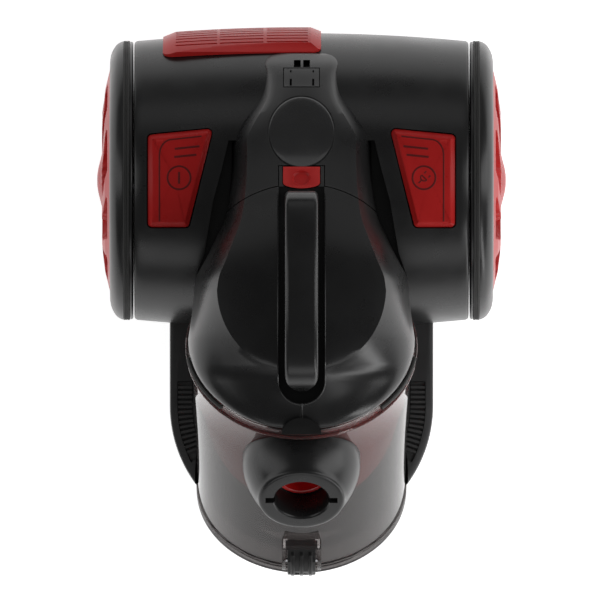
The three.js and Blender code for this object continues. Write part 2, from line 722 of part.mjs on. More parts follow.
function rearCover() {
  const drumBelow = barrel(0.3).subtract(saddle(-GAP));
  const inside = canopyInner.subtract(lidPlan(0.6 + WALL));
  const grilleSpace = barrel(GRILLE_RISE + GAP)
    .intersect(sector(GRILLE_X[0], GRILLE_X[1] + GAP, GRILLE_ARC[0] - 0.3, GRILLE_ARC[1]));
  return canopyOuter
    .subtract(lidPlan(0.6))
    .intersect(box(-110, 110, 40, 200, 140, 340))
    .subtract(box(-110, 110, 0, 114.4, 100, RECESS_FLOOR_Z + 0.3))
    .subtract(inside)
    .subtract(drumBelow)
    .subtract(grilleSpace)
    .subtract(box(-13.3, 13.3, 151.7, 166.3, 150, 220));
}

// Shallow dished insert on the slope of the rear cover.
const crestTilt = (y0, y1) => Math.atan2(along(CREST, y0) - along(CREST, y1), y1 - y0);

function coverDisc() {
  const tilt = crestTilt(105, 135);
  const disc = turned('z', [[0, 0.4], [22, 0.4], [23, 1], [22, 1.6], [0, 1.2]], 24);
  disc.rotateX(-tilt).translate(0, 120, along(CREST, 120) + 1.2);
  return solid(disc);
}

function rearCatch() {
  const block = box(-12.5, 12.5, 152.5, 165.5, 160, 230);
  const above = barrel(0.6);
  return block.intersect(canopyOuter).subtract(above);
}

// ---------------------------------------------------------------- carry handle

function carryHandle() {
  const curve = (shape, pairs) => shape.splineThru(points2(pairs));
  const shape = new THREE.Shape();
  shape.moveTo(77.6, 245.3);
  shape.lineTo(77.6, 284);
  curve(shape, [[75, 293], [67, 301], [40, 310.5], [15, 315], [-10, 316], [-32, 313], [-48, 305],
    [-58, 292], [-62, 276]]);
  shape.lineTo(-62, 245.3);
  shape.lineTo(-48, 245.3);
  shape.lineTo(-48, 270);
  curve(shape, [[-45, 283], [-34, 293], [-12, 299], [15, 298.5], [40, 294], [57, 288], [64, 279],
    [66, 266]]);
  shape.lineTo(66, 245.3);
  const bar = crossways(shape, -HANDLE_HALF + 3, HANDLE_HALF - 3, {
    bevelEnabled: true, bevelThickness: 3, bevelSize: 3, bevelOffset: -3, bevelSegments: 1,
    curveSegments: 2,
  });
  const plan = new THREE.Shape();
  const nose = -62 + HANDLE_HALF;
  plan.moveTo(HANDLE_HALF, 90);
  plan.lineTo(-HANDLE_HALF, 90);
  plan.lineTo(-HANDLE_HALF, nose);
  plan.absarc(0, nose, HANDLE_HALF, Math.PI, 2 * Math.PI, false);
  return bar.intersect(prism(plan, 240, 330, 8));
}

// ---------------------------------------------------------------- bin parts, in the bin's frame

const binRadius = (z) => BIN_BASE_RADIUS + (BIN_TOP_RADIUS - BIN_BASE_RADIUS) * (z / BIN_HEIGHT);

// Places a shape that is turned about z so that z runs out along the hose inlet.
function alongInlet(geometry) {
  geometry.rotateX(rad(90 - INLET_RISE));
  return solid(geometry.translate(0, 0, INLET_HEIGHT));
}

const LATCH_Y = -79.5;
const LATCH_Z = 14;
const FLAP_HINGE = { y: 77.5, z: -3 };

function binCup() {
  const wall = solid(turned('z', [
    [BIN_BASE_RADIUS, 0], [binRadius(157), 157], [80.4, 159], [80.4, BIN_HEIGHT],
    [BIN_TOP_RADIUS - BIN_WALL, BIN_HEIGHT], [BIN_BASE_RADIUS - BIN_WALL, 0],
  ], 32));
  const mouth = BIN_BASE_RADIUS - 1;
  const bore = solid(turned('z', [[0, -20], [mouth, -20], [mouth, 60], [0, 60]], 32));
  const cheekSide = outline([[-70, 0.5], [-80.5, 3], [-84, 14], [-80, 31], [-70, 31]]);
  const cheeks = [-14, 11.4].map((x) => crossways(cheekSide, x, x + 2.6));
  const arch = crossways(outline([[-70, 31], [-80, 31], [-82, 29], [-70, 29]]), -14, 14);
  const hingeSide = outline([
    [69, 12], [74, 12], [80.4, -1], [80.4, -5], [77.5, -6], [74.8, -4], [74, 0.6], [69, 0.6],
  ]);
  const hingeEars = [-24, 19.4].map((x) => crossways(hingeSide, x, x + 4.6));
  return joined(wall, ...cheeks, arch, ...hingeEars)
    .subtract(bore.intersect(box(-100, 100, -100, 100, 0.4, 60)))
    .subtract(alongInlet(turned('z', [[0, 60], [18.8, 60], [18.8, 100], [0, 100]], 20)))
    .subtract(rod('x', 1.8, -30, 30, [0, FLAP_HINGE.y, FLAP_HINGE.z], 8))
    .subtract(rod('x', 1.7, -30, 30, [0, LATCH_Y, LATCH_Z], 8));
}

function inletCollar() {
  const cone = alongInlet(turned('z', [
    [0, 56], [41.8, 56], [41.8, 72], [40, 84], [36, 95], [31.5, 103], [30, 106.3], [0, 106.3],
  ], 24));
  const socket = alongInlet(turned('z', [
    [0, 50], [18.3, 50], [18.3, 84.6], [HOSE_BORE_RADIUS, 84.6], [HOSE_BORE_RADIUS, 110], [0, 110],
  ], 20));
  const keyways = [-1, 1].map((side) => alongInlet(
    new THREE.BoxGeometry(10, 5.5, 30).translate(side * 20.6, 0, 98.3)));
  const onCup = solid(turned('z', [
    [0, -10], [binRadius(0) + 0.3, 0], [binRadius(200) + 0.3, 200], [0, 200],
  ], 32));
  const flange = box(-100, 100, -140, 0, 156, 200);
  return cone.subtract(socket).subtract(joined(...keyways)).subtract(onCup).subtract(flange);
}

const inletDuct = () => alongInlet(turned('z', [
  [15.6, 52], [17.9, 52], [17.9, 84.2], [15.6, 84.2],
], 20));

function cycloneBody() {
  const shell = solid(turned('z', [
    [0, 44], [46, 46], [60, 54], [67, 76], [72, 108], [72, 162.6], [75.4, 162.6],
    [75.4, 164.8], [70, 164.8], [70, 108.4], [65, 76.6], [58.4, 55.4], [45, 48.2], [0, 46.2],
  ], 24));
  return shell.subtract(alongInlet(turned('z', [[0, 50], [18.3, 50], [18.3, 90], [0, 90]], 20)));
}

const vortexShroud = () => solid(turned('z', [
  [0, 66], [26, 68], [43, 104], [43, 158], [69.3, 158], [69.3, 160.4], [41, 160.4],
  [41, 104.6], [24.6, 70], [0, 68.2],
], 20));

const lidSeal = () => ring('z', 72, 75, BIN_HEIGHT + 0.3, BIN_HEIGHT + 2.4, [0, 0, 0], 24);

const lidFilter = () => ring('z', 12, 46, BIN_HEIGHT + 2.2, BIN_HEIGHT + 7, [0, 14, 0], 20);

function baseFlap() {
  const dish = solid(turned('z', [
    [0, -0.4], [71.4, -0.4], [71.4, -2], [74.4, -2], [74.4, -0.4], [75.4, -0.4], [75.4, -7.4],
    [72.4, -7.4], [72.4, -4.4], [0, -4.4],
  ], 24));
  const knuckle = rod('x', 3, -18.8, 18.8, [0, FLAP_HINGE.y, FLAP_HINGE.z], 12);
  const web = box(-18.8, 18.8, 74.8, FLAP_HINGE.y, -5.4, -1);
  return joined(dish, knuckle, web)
    .subtract(rod('x', 1.8, -30, 30, [0, FLAP_HINGE.y, FLAP_HINGE.z], 8));
}

const flapSeal = () => ring('z', 71.9, 73.8, -1.7, -0.3, [0, 0, 0], 24);

const flapHingePin = () => rod('x', 1.4, -24, 24, [0, FLAP_HINGE.y, FLAP_HINGE.z], 8);

function baseLatch() {
  const side = outline([
    [-77.2, 27.5], [-80.5, 28], [-83.4, 16], [-82.6, 4], [-79.4, -4], [-77.4, -4], [-77, -1],
    [-76.6, 8], [-77, 20],
  ]);
  const rib = outline([
    [-80.4, 26], [-83.6, 24], [-86, 14], [-84.2, 3], [-80, -4.4], [-79.2, -3.8], [-81, 4],
    [-81.8, 15],
  ]);
  const ribs = [-7.5, -1.2, 5.1].map((x) => crossways(rib, x, x + 2.4));
  return joined(crossways(side, -10, 10), ...ribs)
    .subtract(rod('x', 1.7, -30, 30, [0, LATCH_Y, LATCH_Z], 8));
}

const latchPin = () => rod('x', 1.3, -14, 14, [0, LATCH_Y, LATCH_Z], 8);

// Clip on the lid's front lip, over the top of the collar.
function lidCatch() {
  const shape = new THREE.Shape();
  shape.absellipse(0, -94.7, 14, 11.4, 0, Math.PI, false, 0);
  const under = canopy(-0.35);
  return prism(shape, 257, 271.5, 10).subtract(under);
}

// ---------------------------------------------------------------- assembly

const cleaner = new THREE.Group();
const bin = new THREE.Group();
bin.position.copy(BIN_BASE);
bin.rotation.x = rad(-BIN_TILT);
cleaner.add(bin);

const onBody = (name, body, look) => cleaner.add(toMesh(name, body, look));
const onBin = (name, body, look) => bin.add(toMesh(name, body, look));

onBody('lower_housing', lowerHousing(), BLACK_SATIN);
onBody('upper_housing', upperHousing(), BLACK_GLOSS);
onBody('rear_cover', rearCover(), BLACK_GLOSS);
onBody('cover_disc', coverDisc(), BLACK_GLOSS);
onBody('rear_catch', rearCatch(), BLACK_SATIN);
onBody('exhaust_grille', exhaustGrille(), RED_GLOSS);
onBody('exhaust_filter', exhaustFilter(), PAPER);
onBody('motor_housing', motorHousing(), BLACK_SATIN);
onBody('fan_cover', fanCover(), STEEL);
onBody('impeller', impeller(), STEEL);
onBody('motor_shaft', motorShaft(), STEEL);
onBody('motor_can', motorCan(), STEEL);
onBody('motor_mount', motorMount(), RUBBER);
onBody('motor_inlet_grille', inletGrille(), BLACK_SATIN);
onBody('motor_filter', motorFilter(), FOAM);
onBody('control_board', controlBoard(), BOARD_GREEN);
onBody('power_switch', powerSwitch(), BLACK_SATIN);
onBody('cord_reel', cordReel(), BLACK_SATIN);
onBody('reel_axle', reelAxle(), STEEL);
onBody('reel_brake', reelBrake(), BLACK_SATIN);
onBody('cord_outlet', cordOutlet(), BLACK_SATIN);
onBody('power_pedal', pedal(-1), RED_GLOSS);
onBody('rewind_pedal', pedal(1), RED_GLOSS);
onBody('power_pedal_spring', pedalSpring(-1), STEEL);
onBody('rewind_pedal_spring', pedalSpring(1), STEEL);
for (const [hand, side] of [['left', -1], ['right', 1]]) {
  onBody(`louver_${hand}`, louver(side), BLACK_SATIN);
  onBody(`wheel_${hand}`, wheel(side), BLACK_GLOSS);
  onBody(`tread_${hand}`, tread(side), RUBBER);
  onBody(`hub_cover_${hand}`, hubCover(side), RED_GLOSS);
  onBody(`axle_${hand}`, axle(side), STEEL);
}
towerPlaces.forEach((place, i) => onBody(`housing_screw_${i + 1}`, housingScrew(place), STEEL));
onBody('caster_fork', casterFork(), BLACK_SATIN);
onBody('caster_wheel', casterWheel(), RUBBER);
onBody('caster_axle', casterAxle(), STEEL);

onBody('bin_lid', binLid(), BLACK_GLOSS);
onBody('carry_handle', carryHandle(), BLACK_GLOSS);
onBody('release_button', releaseButton(), RED_GLOSS);
onBody('release_spring', releaseSpring(), STEEL);
onBody('lid_catch', lidCatch(), BLACK_SATIN);
onBin('bin_cup', binCup(), SMOKED_CLEAR);
onBin('inlet_collar', inletCollar(), BLACK_GLOSS);
onBin('inlet_duct', inletDuct(), RED_GLOSS);
onBin('cyclone_body', cycloneBody(), RED_GLOSS);
onBin('vortex_shroud', vortexShroud(), BLACK_SATIN);
onBin('lid_seal', lidSeal(), RUBBER);
onBin('lid_filter', lidFilter(), FOAM);
onBin('base_flap', baseFlap(), SMOKED_CLEAR);
onBin('flap_seal', flapSeal(), RUBBER);
onBin('flap_hinge_pin', flapHingePin(), STEEL);
onBin('base_latch', baseLatch(), BLACK_SATIN);
onBin('latch_pin', latchPin(), STEEL);

export default cleaner;
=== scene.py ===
"""Bagless cylinder vacuum cleaner: shells, wheels, pedals, smoked dust bin, lid and
handle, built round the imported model's frame."""

import json
import math

import bmesh
import bpy
from mathutils import Matrix, Vector

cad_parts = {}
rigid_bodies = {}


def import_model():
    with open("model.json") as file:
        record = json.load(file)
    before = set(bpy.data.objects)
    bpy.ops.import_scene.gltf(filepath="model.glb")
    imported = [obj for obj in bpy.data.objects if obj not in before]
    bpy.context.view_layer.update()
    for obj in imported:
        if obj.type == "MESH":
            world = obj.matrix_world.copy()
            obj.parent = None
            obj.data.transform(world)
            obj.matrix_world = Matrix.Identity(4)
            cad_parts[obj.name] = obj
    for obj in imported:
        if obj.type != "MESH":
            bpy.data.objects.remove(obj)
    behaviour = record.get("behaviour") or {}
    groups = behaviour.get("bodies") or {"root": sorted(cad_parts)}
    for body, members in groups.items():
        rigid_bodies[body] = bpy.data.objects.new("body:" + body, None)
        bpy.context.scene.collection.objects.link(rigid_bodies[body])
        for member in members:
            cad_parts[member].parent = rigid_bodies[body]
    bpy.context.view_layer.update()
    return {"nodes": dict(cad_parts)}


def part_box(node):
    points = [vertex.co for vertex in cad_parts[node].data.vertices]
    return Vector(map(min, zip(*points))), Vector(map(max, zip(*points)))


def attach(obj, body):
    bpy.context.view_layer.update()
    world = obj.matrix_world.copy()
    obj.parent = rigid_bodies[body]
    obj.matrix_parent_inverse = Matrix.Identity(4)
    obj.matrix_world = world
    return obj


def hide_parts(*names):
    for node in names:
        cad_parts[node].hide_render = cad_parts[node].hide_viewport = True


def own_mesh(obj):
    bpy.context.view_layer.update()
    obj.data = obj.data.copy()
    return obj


for leftover in list(bpy.data.objects):
    bpy.data.objects.remove(leftover)
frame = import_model()
nodes = frame["nodes"]

# ---------------------------------------------------------------------------
# Drum and chassis shells. Two black ABS mouldings: the upper one is polished, the
# lower one carries the tub for the dust bin. They meet on a level line through the
# wheel centre and are screwed together from below.
# ---------------------------------------------------------------------------

axle_low, axle_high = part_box("axle_left")
AXLE_Y = 1000 * (axle_low.y + axle_high.y) / 2
AXLE_Z = 1000 * (axle_low.z + axle_high.z) / 2
DRUM_HALF = 119.5
DRUM_RADIUS = 105.5
DRUM_CROWN = 5.8
SHELL_WALL = 3
UNDERSIDE = 14
SPLIT_LINE = 98
TUB_HALF = 94.4
TUB_CENTRE = -75.6
DECK_HEIGHT = 97
DECK_FALL = 25 / 170
SADDLE_FLOOR = 175
BIN_TILT = 38


def turned(profile, segments=96, axis="X", centre=(0, 0, 0)):
    """A (radius, distance along the axis) profile spun once round, in millimetres."""
    bm = bmesh.new()
    line = [bm.verts.new((along, 0, radius)) for radius, along in profile]
    rims = [bm.edges.new(pair) for pair in zip(line, line[1:])]
    if profile[0][0] > 0 and profile[-1][0] > 0:
        rims.append(bm.edges.new((line[-1], line[0])))
    bmesh.ops.spin(bm, geom=line + rims, cent=(0, 0, 0), axis=(1, 0, 0),
                   angle=2 * math.pi, steps=segments, use_merge=True)
    bmesh.ops.remove_doubles(bm, verts=bm.verts, dist=0.001)
    if axis == "Y":
        bmesh.ops.rotate(bm, verts=bm.verts, matrix=Matrix.Rotation(math.pi / 2, 3, "Z"))
    if axis == "Z":
        bmesh.ops.rotate(bm, verts=bm.verts, matrix=Matrix.Rotation(-math.pi / 2, 3, "Y"))
    bmesh.ops.translate(bm, verts=bm.verts, vec=centre)
    bmesh.ops.recalc_face_normals(bm, faces=bm.faces)
    return bm


def slab(outline, start, end, across="Z"):
    """A flat outline pushed from start to end: a plan (x, y) up Z, or a side (y, z) along X."""
    bm = bmesh.new()
    face = bm.faces.new([bm.verts.new((u, v, start)) for u, v in outline])
    pushed = bmesh.ops.extrude_face_region(bm, geom=[face])["geom"]
    bmesh.ops.translate(bm, vec=(0, 0, end - start),
                        verts=[part for part in pushed if isinstance(part, bmesh.types.BMVert)])
    if across == "X":
        bmesh.ops.transform(bm, verts=bm.verts,
                            matrix=Matrix(((0, 0, 1, 0), (1, 0, 0, 0), (0, 1, 0, 0), (0, 0, 0, 1))))
    bmesh.ops.recalc_face_normals(bm, faces=bm.faces)
    return bm


def block(x0, x1, y0, y1, z0, z1):
    bm = bmesh.new()
    bmesh.ops.create_cube(bm, size=1)
    bmesh.ops.scale(bm, verts=bm.verts, vec=(x1 - x0, y1 - y0, z1 - z0))
    bmesh.ops.translate(bm, verts=bm.verts, vec=((x0 + x1) / 2, (y0 + y1) / 2, (z0 + z1) / 2))
    return bm


def rod(axis, radius, start, end, centre=(0, 0, 0), segments=48):
    return turned([(0, start), (radius, start), (radius, end), (0, end)], segments, axis, centre)


def blank(bm):
    """A bmesh as an object, ready to be cut."""
    mesh = bpy.data.meshes.new("blank")
    bm.to_mesh(mesh)
    bm.free()
    piece = bpy.data.objects.new("blank", mesh)
    bpy.context.scene.collection.objects.link(piece)
    return piece


def copy_of(piece):
    twin = piece.copy()
    twin.data = piece.data.copy()
    bpy.context.scene.collection.objects.link(twin)
    return twin


def work(piece, tool, operation="DIFFERENCE"):
    """Cuts the tool from the piece, joins it on, or keeps only what they share."""
    tool = tool if isinstance(tool, bpy.types.Object) else blank(tool)
    step = piece.modifiers.new("work", "BOOLEAN")
    step.operation = operation
    step.solver = "MANIFOLD"
    step.object = tool
    depsgraph = bpy.context.evaluated_depsgraph_get()
    mesh = bpy.data.meshes.new_from_object(piece.evaluated_get(depsgraph))
    piece.modifiers.clear()
    piece.data = mesh
    bpy.data.objects.remove(tool)
    return piece


def gathered(forms):
    """Several forms joined into one piece."""
    whole = blank(forms[0])
    for form in forms[1:]:
        work(whole, form, "UNION")
    return whole


def drum_radius(x):
    return DRUM_RADIUS - DRUM_CROWN * (x / DRUM_HALF) ** 2


def drum_top(x, y, lift=0.0):
    """Height of the drum's skin, or of a skin lifted off it, over a plan point."""
    return AXLE_Z + math.sqrt((drum_radius(x) + lift) ** 2 - (y - AXLE_Y) ** 2)


def barrel(lift, segments=144):
    half = DRUM_HALF + min(lift, 0)
    corner = 2
    end = drum_radius(half) + lift - corner
    turn = [math.radians(a) for a in (0, 22.5, 45, 67.5)]
    rim = [(0, half)] + [(end + corner * math.sin(a), half - corner + corner * math.cos(a)) for a in turn]
    strips = 44
    skin = []
    for i in range(strips + 1):
        x = (half - corner) * (1 - 2 * i / strips)
        skin.append((drum_radius(x) + lift, x))
    return turned(rim + skin + [(r, -x) for r, x in reversed(rim)], segments, "X", (0, AXLE_Y, AXLE_Z))


def arc(centre, radii, start, end, count=48):
    """Points on an oval from one angle to another, in degrees."""
    return [(centre[0] + radii[0] * math.cos(math.radians(start + (end - start) * i / count)),
             centre[1] + radii[1] * math.sin(math.radians(start + (end - start) * i / count)))
            for i in range(count + 1)]


def deck_level(y):
    """Height of the tub's deck, which falls away to the front."""
    return DECK_HEIGHT + DECK_FALL * y


def tub(inset):
    half = TUB_HALF - inset
    plan = [(half, 60), (-half, 60)] + arc((0, TUB_CENTRE), (half, half), 180, 360, 72)
    front = TUB_CENTRE - half
    floor = UNDERSIDE + inset
    deck = [deck_level(y) - inset for y in (0, front)]
    side = [(front - 1, floor + 10), (front + 11, floor), (61, floor), (61, deck[0]), (0, deck[0]),
            (front - 1, deck[1])]
    form = work(blank(slab(plan, floor, DECK_HEIGHT)), slab(side, -120, 120, "X"), "INTERSECT")
    bm = bmesh.new()
    bm.from_mesh(form.data)
    bmesh.ops.remove_doubles(bm, verts=bm.verts, dist=0.01)
    bmesh.ops.dissolve_limit(bm, angle_limit=math.radians(1), verts=bm.verts, edges=bm.edges)
    rim = [e for e in bm.edges if len(e.link_faces) == 2 and max(f.normal.z for f in e.link_faces) > 0.9
           and abs(min(f.normal.z for f in e.link_faces)) < 0.1 and e.verts[0].co.y < 59]
    bmesh.ops.bevel(bm, geom=rim, offset=2.2, segments=2, profile=0.5, affect="EDGES", material=-1)
    bm.to_mesh(form.data)
    bm.free()
    return form


bin_frame = Matrix.Translation((0, -131.2, 76)) @ Matrix.Rotation(math.radians(-BIN_TILT), 4, "X")
lift_way = Vector((0, -math.sin(math.radians(15)), math.cos(math.radians(15))))


def swept(local_points):
    """The space that points of the bin pass through as it is lifted out."""
    bm = bmesh.new()
    for point in local_points:
        start = bin_frame @ Vector(point)
        bm.verts.new(start)
        bm.verts.new(start + 200 * lift_way)
    skin = bmesh.ops.convex_hull(bm, input=bm.verts)
    bmesh.ops.delete(bm, geom=list(set(skin["geom_interior"])), context="VERTS")
    bmesh.ops.recalc_face_normals(bm, faces=bm.faces)
    return bm


def circle(radius, z, count=72):
    return [(radius * math.cos(2 * math.pi * i / count), radius * math.sin(2 * math.pi * i / count), z)
            for i in range(count)]


def bin_well(grow):
    floor = -8.5 - grow
    well = blank(swept(circle(76.2 + grow, floor) + circle(80 + grow, 160)))
    work(well, swept(circle(83.5 + grow, 155 - grow) + circle(83.5 + grow, 194)), "UNION")
    hinge = [(x, y, z) for x in (-27 - grow, 27 + grow) for y in (50, 82 + grow) for z in (floor, 20)]
    return work(well, swept(hinge), "UNION")


def saddle(grow):
    half = [(52, 114), (57, 93), (63, 71), (69.5, 33), (75, 18), (82, -10), (84, -40)]
    right = [(x + grow, y + grow if y == 114 else y) for x, y in half]
    return slab(right + [(-x, y) for x, y in reversed(right)], SADDLE_FLOOR - grow, 240)


def shell_form(inset):
    form = work(blank(barrel(-inset)), tub(inset), "UNION")
    work(form, block(-200, 200, -200, 260, -20, UNDERSIDE + inset))
    work(form, bin_well(inset))
    return work(form, saddle(inset))


def pedal_corners(side, grow):
    corners = [(109.5 + grow, 118 + grow), (62.9 - grow, 122.6 + grow),
               (80.6 - grow, 52.2 - grow), (109.5 + grow, 52.2 - grow)]
    return [Vector((side * x, y)) for x, y in corners]


def rounded(corners, radius, steps=6):
    """A corner outline with each corner turned into an arc of that radius."""
    smooth = []
    count = len(corners)
    for i, corner in enumerate(corners):
        back = (corners[i - 1] - corner).normalized()
        onward = (corners[(i + 1) % count] - corner).normalized()
        half = back.angle(onward) / 2
        centre = corner + (back + onward).normalized() * radius / math.sin(half)
        first = corner + back * radius / math.tan(half) - centre
        last = corner + onward * radius / math.tan(half) - centre
        for k in range(steps + 1):
            blend = first.lerp(last, k / steps)
            smooth.append(centre + blend.normalized() * radius)
    return smooth


def louver_plan(side, inner, outer, rear, sweep=27):
    if side > 0:
        return ([(inner, rear), (outer, rear)] + arc((0, TUB_CENTRE), (outer, outer), 0, -sweep, 16)
                + arc((0, TUB_CENTRE), (inner, inner), -sweep, 0, 16))
    return ([(-inner, rear), (-outer, rear)] + arc((0, TUB_CENTRE), (outer, outer), 180, 180 + sweep, 16)
            + arc((0, TUB_CENTRE), (inner, inner), 180 + sweep, 180, 16))


def deck_slab(low, high):
    z = [deck_level(y) for y in (-180, 0)]
    return slab([(-180, z[0] + low), (0, z[1] + low), (0, z[1] + high), (-180, z[0] + high)], -120, 120, "X")


outer_form = shell_form(0)
shell = work(copy_of(outer_form), shell_form(SHELL_WALL))
CASTER_STEM = -138
SCREW_SPOTS = [(x, y, 0) for x in (-111.5, 111.5) for y in (35, 137)]
for spot in SCREW_SPOTS:
    work(shell, rod("Z", 4.5, 12, 130, spot, 24), "UNION")
work(shell, rod("Z", 28, 10, 39, (0, CASTER_STEM, 0), 72), "UNION")
work(shell, rod("Z", 9, 30, 55, (0, CASTER_STEM, 0)), "UNION")
work(shell, outer_form, "INTERSECT")
work(shell, rod("Z", 25, 0, 36, (0, CASTER_STEM, 0), 72))
work(shell, rod("Z", 5.4, 30, 60, (0, CASTER_STEM, 0)))
work(shell, block(-93, 8, 150, 210, 66, 134))
work(shell, rod("Y", 12.4, 160, 200, (70, 0, 60)))
for spot in SCREW_SPOTS:
    work(shell, rod("Z", 2, 0, 116, spot, 16))
    work(shell, rod("Z", 4, 0, 20, spot, 24))

lower_shell = work(copy_of(shell), block(-200, 200, -250, 260, SPLIT_LINE - 0.2, 400))
for side in (-1, 1):
    seat = blank(slab(louver_plan(side, 77.8, 88.9, -58), 40, 120))
    work(lower_shell, work(seat, deck_slab(-3, 10), "INTERSECT"))

upper_shell = work(shell, block(-200, 200, -250, 260, -20, SPLIT_LINE + 0.2))
port_low, port_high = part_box("motor_inlet_grille")
PORT_Y = 500 * (port_low.y + port_high.y)
work(upper_shell, block(-25, 25, PORT_Y - 9.5, PORT_Y + 9.5, SADDLE_FLOOR - 6, SADDLE_FLOOR + 1))
for side in (-1, 1):
    opening = rounded(pedal_corners(side, 0.8), 3.8)
    work(upper_shell, slab(opening, 176, 215))


def finished(piece, name, body, replaced, material, sharp=32):
    """Names a piece, brings it to metres, shades it and sets it on its body."""
    piece.name = name
    piece.data.name = name
    bm = bmesh.new()
    bm.from_mesh(piece.data)
    bmesh.ops.remove_doubles(bm, verts=bm.verts, dist=0.002)
    bmesh.ops.dissolve_degenerate(bm, edges=bm.edges, dist=0.002)
    bmesh.ops.scale(bm, verts=bm.verts, vec=(0.001, 0.001, 0.001))
    for face in bm.faces:
        face.smooth = True
    bm.to_mesh(piece.data)
    bm.free()
    piece.data.set_sharp_from_angle(angle=math.radians(sharp))
    piece.data.materials.clear()
    piece.data.materials.append(material)
    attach(piece, body)
    if replaced:
        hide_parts(*replaced)
    return piece


def fresh_finish(name):
    """A new material, with its node tree, its shader and the call that joins two sockets."""
    material = bpy.data.materials.new(name)
    material.use_nodes = True
    tree = material.node_tree
    return material, tree, tree.nodes["Principled BSDF"], tree.links.new


def spread(tree, low, high, start=0.0, end=1.0):
    """A node that turns a mask running from start to end into a value from low to high."""
    node = tree.nodes.new("ShaderNodeMapRange")
    for socket, value in (("From Min", start), ("From Max", end), ("To Min", low), ("To Max", high)):
        node.inputs[socket].default_value = value
    return node


def two_tones(tree, deep, pale, start=0.0, end=1.0):
    """A node that turns a mask into a colour between a deep and a pale tone."""
    node = tree.nodes.new("ShaderNodeValToRGB")
    for stop, place, tone in zip(node.color_ramp.elements, (start, end), (deep, pale)):
        stop.position = place
        stop.color = (*tone, 1)
    return node


def wear_group():
    """Rubbed edges and patchy handling marks, for every hard finish."""
    group = bpy.data.node_groups.new("handling_marks", "ShaderNodeTree")
    face = group.interface
    face.new_socket("Patch Scale", in_out="INPUT", socket_type="NodeSocketFloat").default_value = 30
    face.new_socket("Grain Scale", in_out="INPUT", socket_type="NodeSocketFloat").default_value = 1500
    face.new_socket("Patches", in_out="OUTPUT", socket_type="NodeSocketFloat")
    face.new_socket("Edges", in_out="OUTPUT", socket_type="NodeSocketFloat")
    face.new_socket("Grain", in_out="OUTPUT", socket_type="NodeSocketFloat")
    add = group.nodes.new
    given, taken = add("NodeGroupInput"), add("NodeGroupOutput")
    place = add("ShaderNodeTexCoord")
    patches = add("ShaderNodeTexNoise")
    patches.inputs["Detail"].default_value = 5
    patches.inputs["Roughness"].default_value = 0.6
    grain = add("ShaderNodeTexNoise")
    grain.inputs["Detail"].default_value = 2
    surface = add("ShaderNodeNewGeometry")
    edges = spread(group, 0, 1, 0.52, 0.62)
    link = group.links.new
    link(place.outputs["Object"], patches.inputs["Vector"])
    link(place.outputs["Object"], grain.inputs["Vector"])
    link(given.outputs["Patch Scale"], patches.inputs["Scale"])
    link(given.outputs["Grain Scale"], grain.inputs["Scale"])
    link(surface.outputs["Pointiness"], edges.inputs["Value"])
    link(patches.outputs["Fac"], taken.inputs["Patches"])
    link(edges.outputs["Result"], taken.inputs["Edges"])
    link(grain.outputs["Fac"], taken.inputs["Grain"])
    return group


handling_marks = wear_group()


def marks_on(tree, patch_scale, grain_scale=1500):
    """The handling marks placed in one finish, with its own scales."""
    marks = tree.nodes.new("ShaderNodeGroup")
    marks.node_tree = handling_marks
    marks.inputs["Patch Scale"].default_value = patch_scale
    marks.inputs["Grain Scale"].default_value = grain_scale
    return marks


def moulded(name, deep, pale, rub, rough, grain=0.02, patch_scale=30, grain_scale=1500, coat=0.0, ior=1.5):
    """A moulded finish: two tones in patches, rubbed edges, uneven gloss and a fine grain."""
    material, tree, shader, link = fresh_finish(name)
    shader.inputs["IOR"].default_value = ior
    shader.inputs["Coat Weight"].default_value = coat
    shader.inputs["Coat Roughness"].default_value = 0.08
    marks = marks_on(tree, patch_scale, grain_scale)
    tone = two_tones(tree, deep, pale, 0.35, 0.68)
    worn = tree.nodes.new("ShaderNodeMix")
    worn.data_type = "RGBA"
    worn.inputs["B"].default_value = (*rub, 1)
    gloss = spread(tree, rough * 0.85, rough * 1.2, 0.3, 0.75)
    bump = tree.nodes.new("ShaderNodeBump")
    bump.inputs["Strength"].default_value = 0.25
    bump.inputs["Distance"].default_value = grain * 0.001
    link(marks.outputs["Patches"], tone.inputs["Fac"])
    link(tone.outputs["Color"], worn.inputs["A"])
    link(marks.outputs["Edges"], worn.inputs["Factor"])
    link(worn.outputs["Result"], shader.inputs["Base Color"])
    link(marks.outputs["Patches"], gloss.inputs["Value"])
    link(gloss.outputs["Result"], shader.inputs["Roughness"])
    link(marks.outputs["Grain"], bump.inputs["Height"])
    link(bump.outputs["Normal"], shader.inputs["Normal"])
    return material


polished_black = moulded("polished_black", (0.0095, 0.0095, 0.0098), (0.0125, 0.0125, 0.0128),
                         (0.022, 0.022, 0.022), 0.29, 0.006, ior=1.42)
satin_black = moulded("satin_black", (0.016, 0.016, 0.0165), (0.021, 0.021, 0.0215),
                      (0.04, 0.04, 0.04), 0.42, 0.03)
finished(upper_shell, "drum_upper_shell", "body", ["upper_housing"], polished_black)
finished(lower_shell, "drum_lower_shell_and_tub", "body", ["lower_housing"], satin_black)

# ---------------------------------------------------------------------------
# Louvred strips beside the bin. Black inserts of upright ribs that clip into slots
# in the tub's deck and let the motor's cooling air in.
# ---------------------------------------------------------------------------

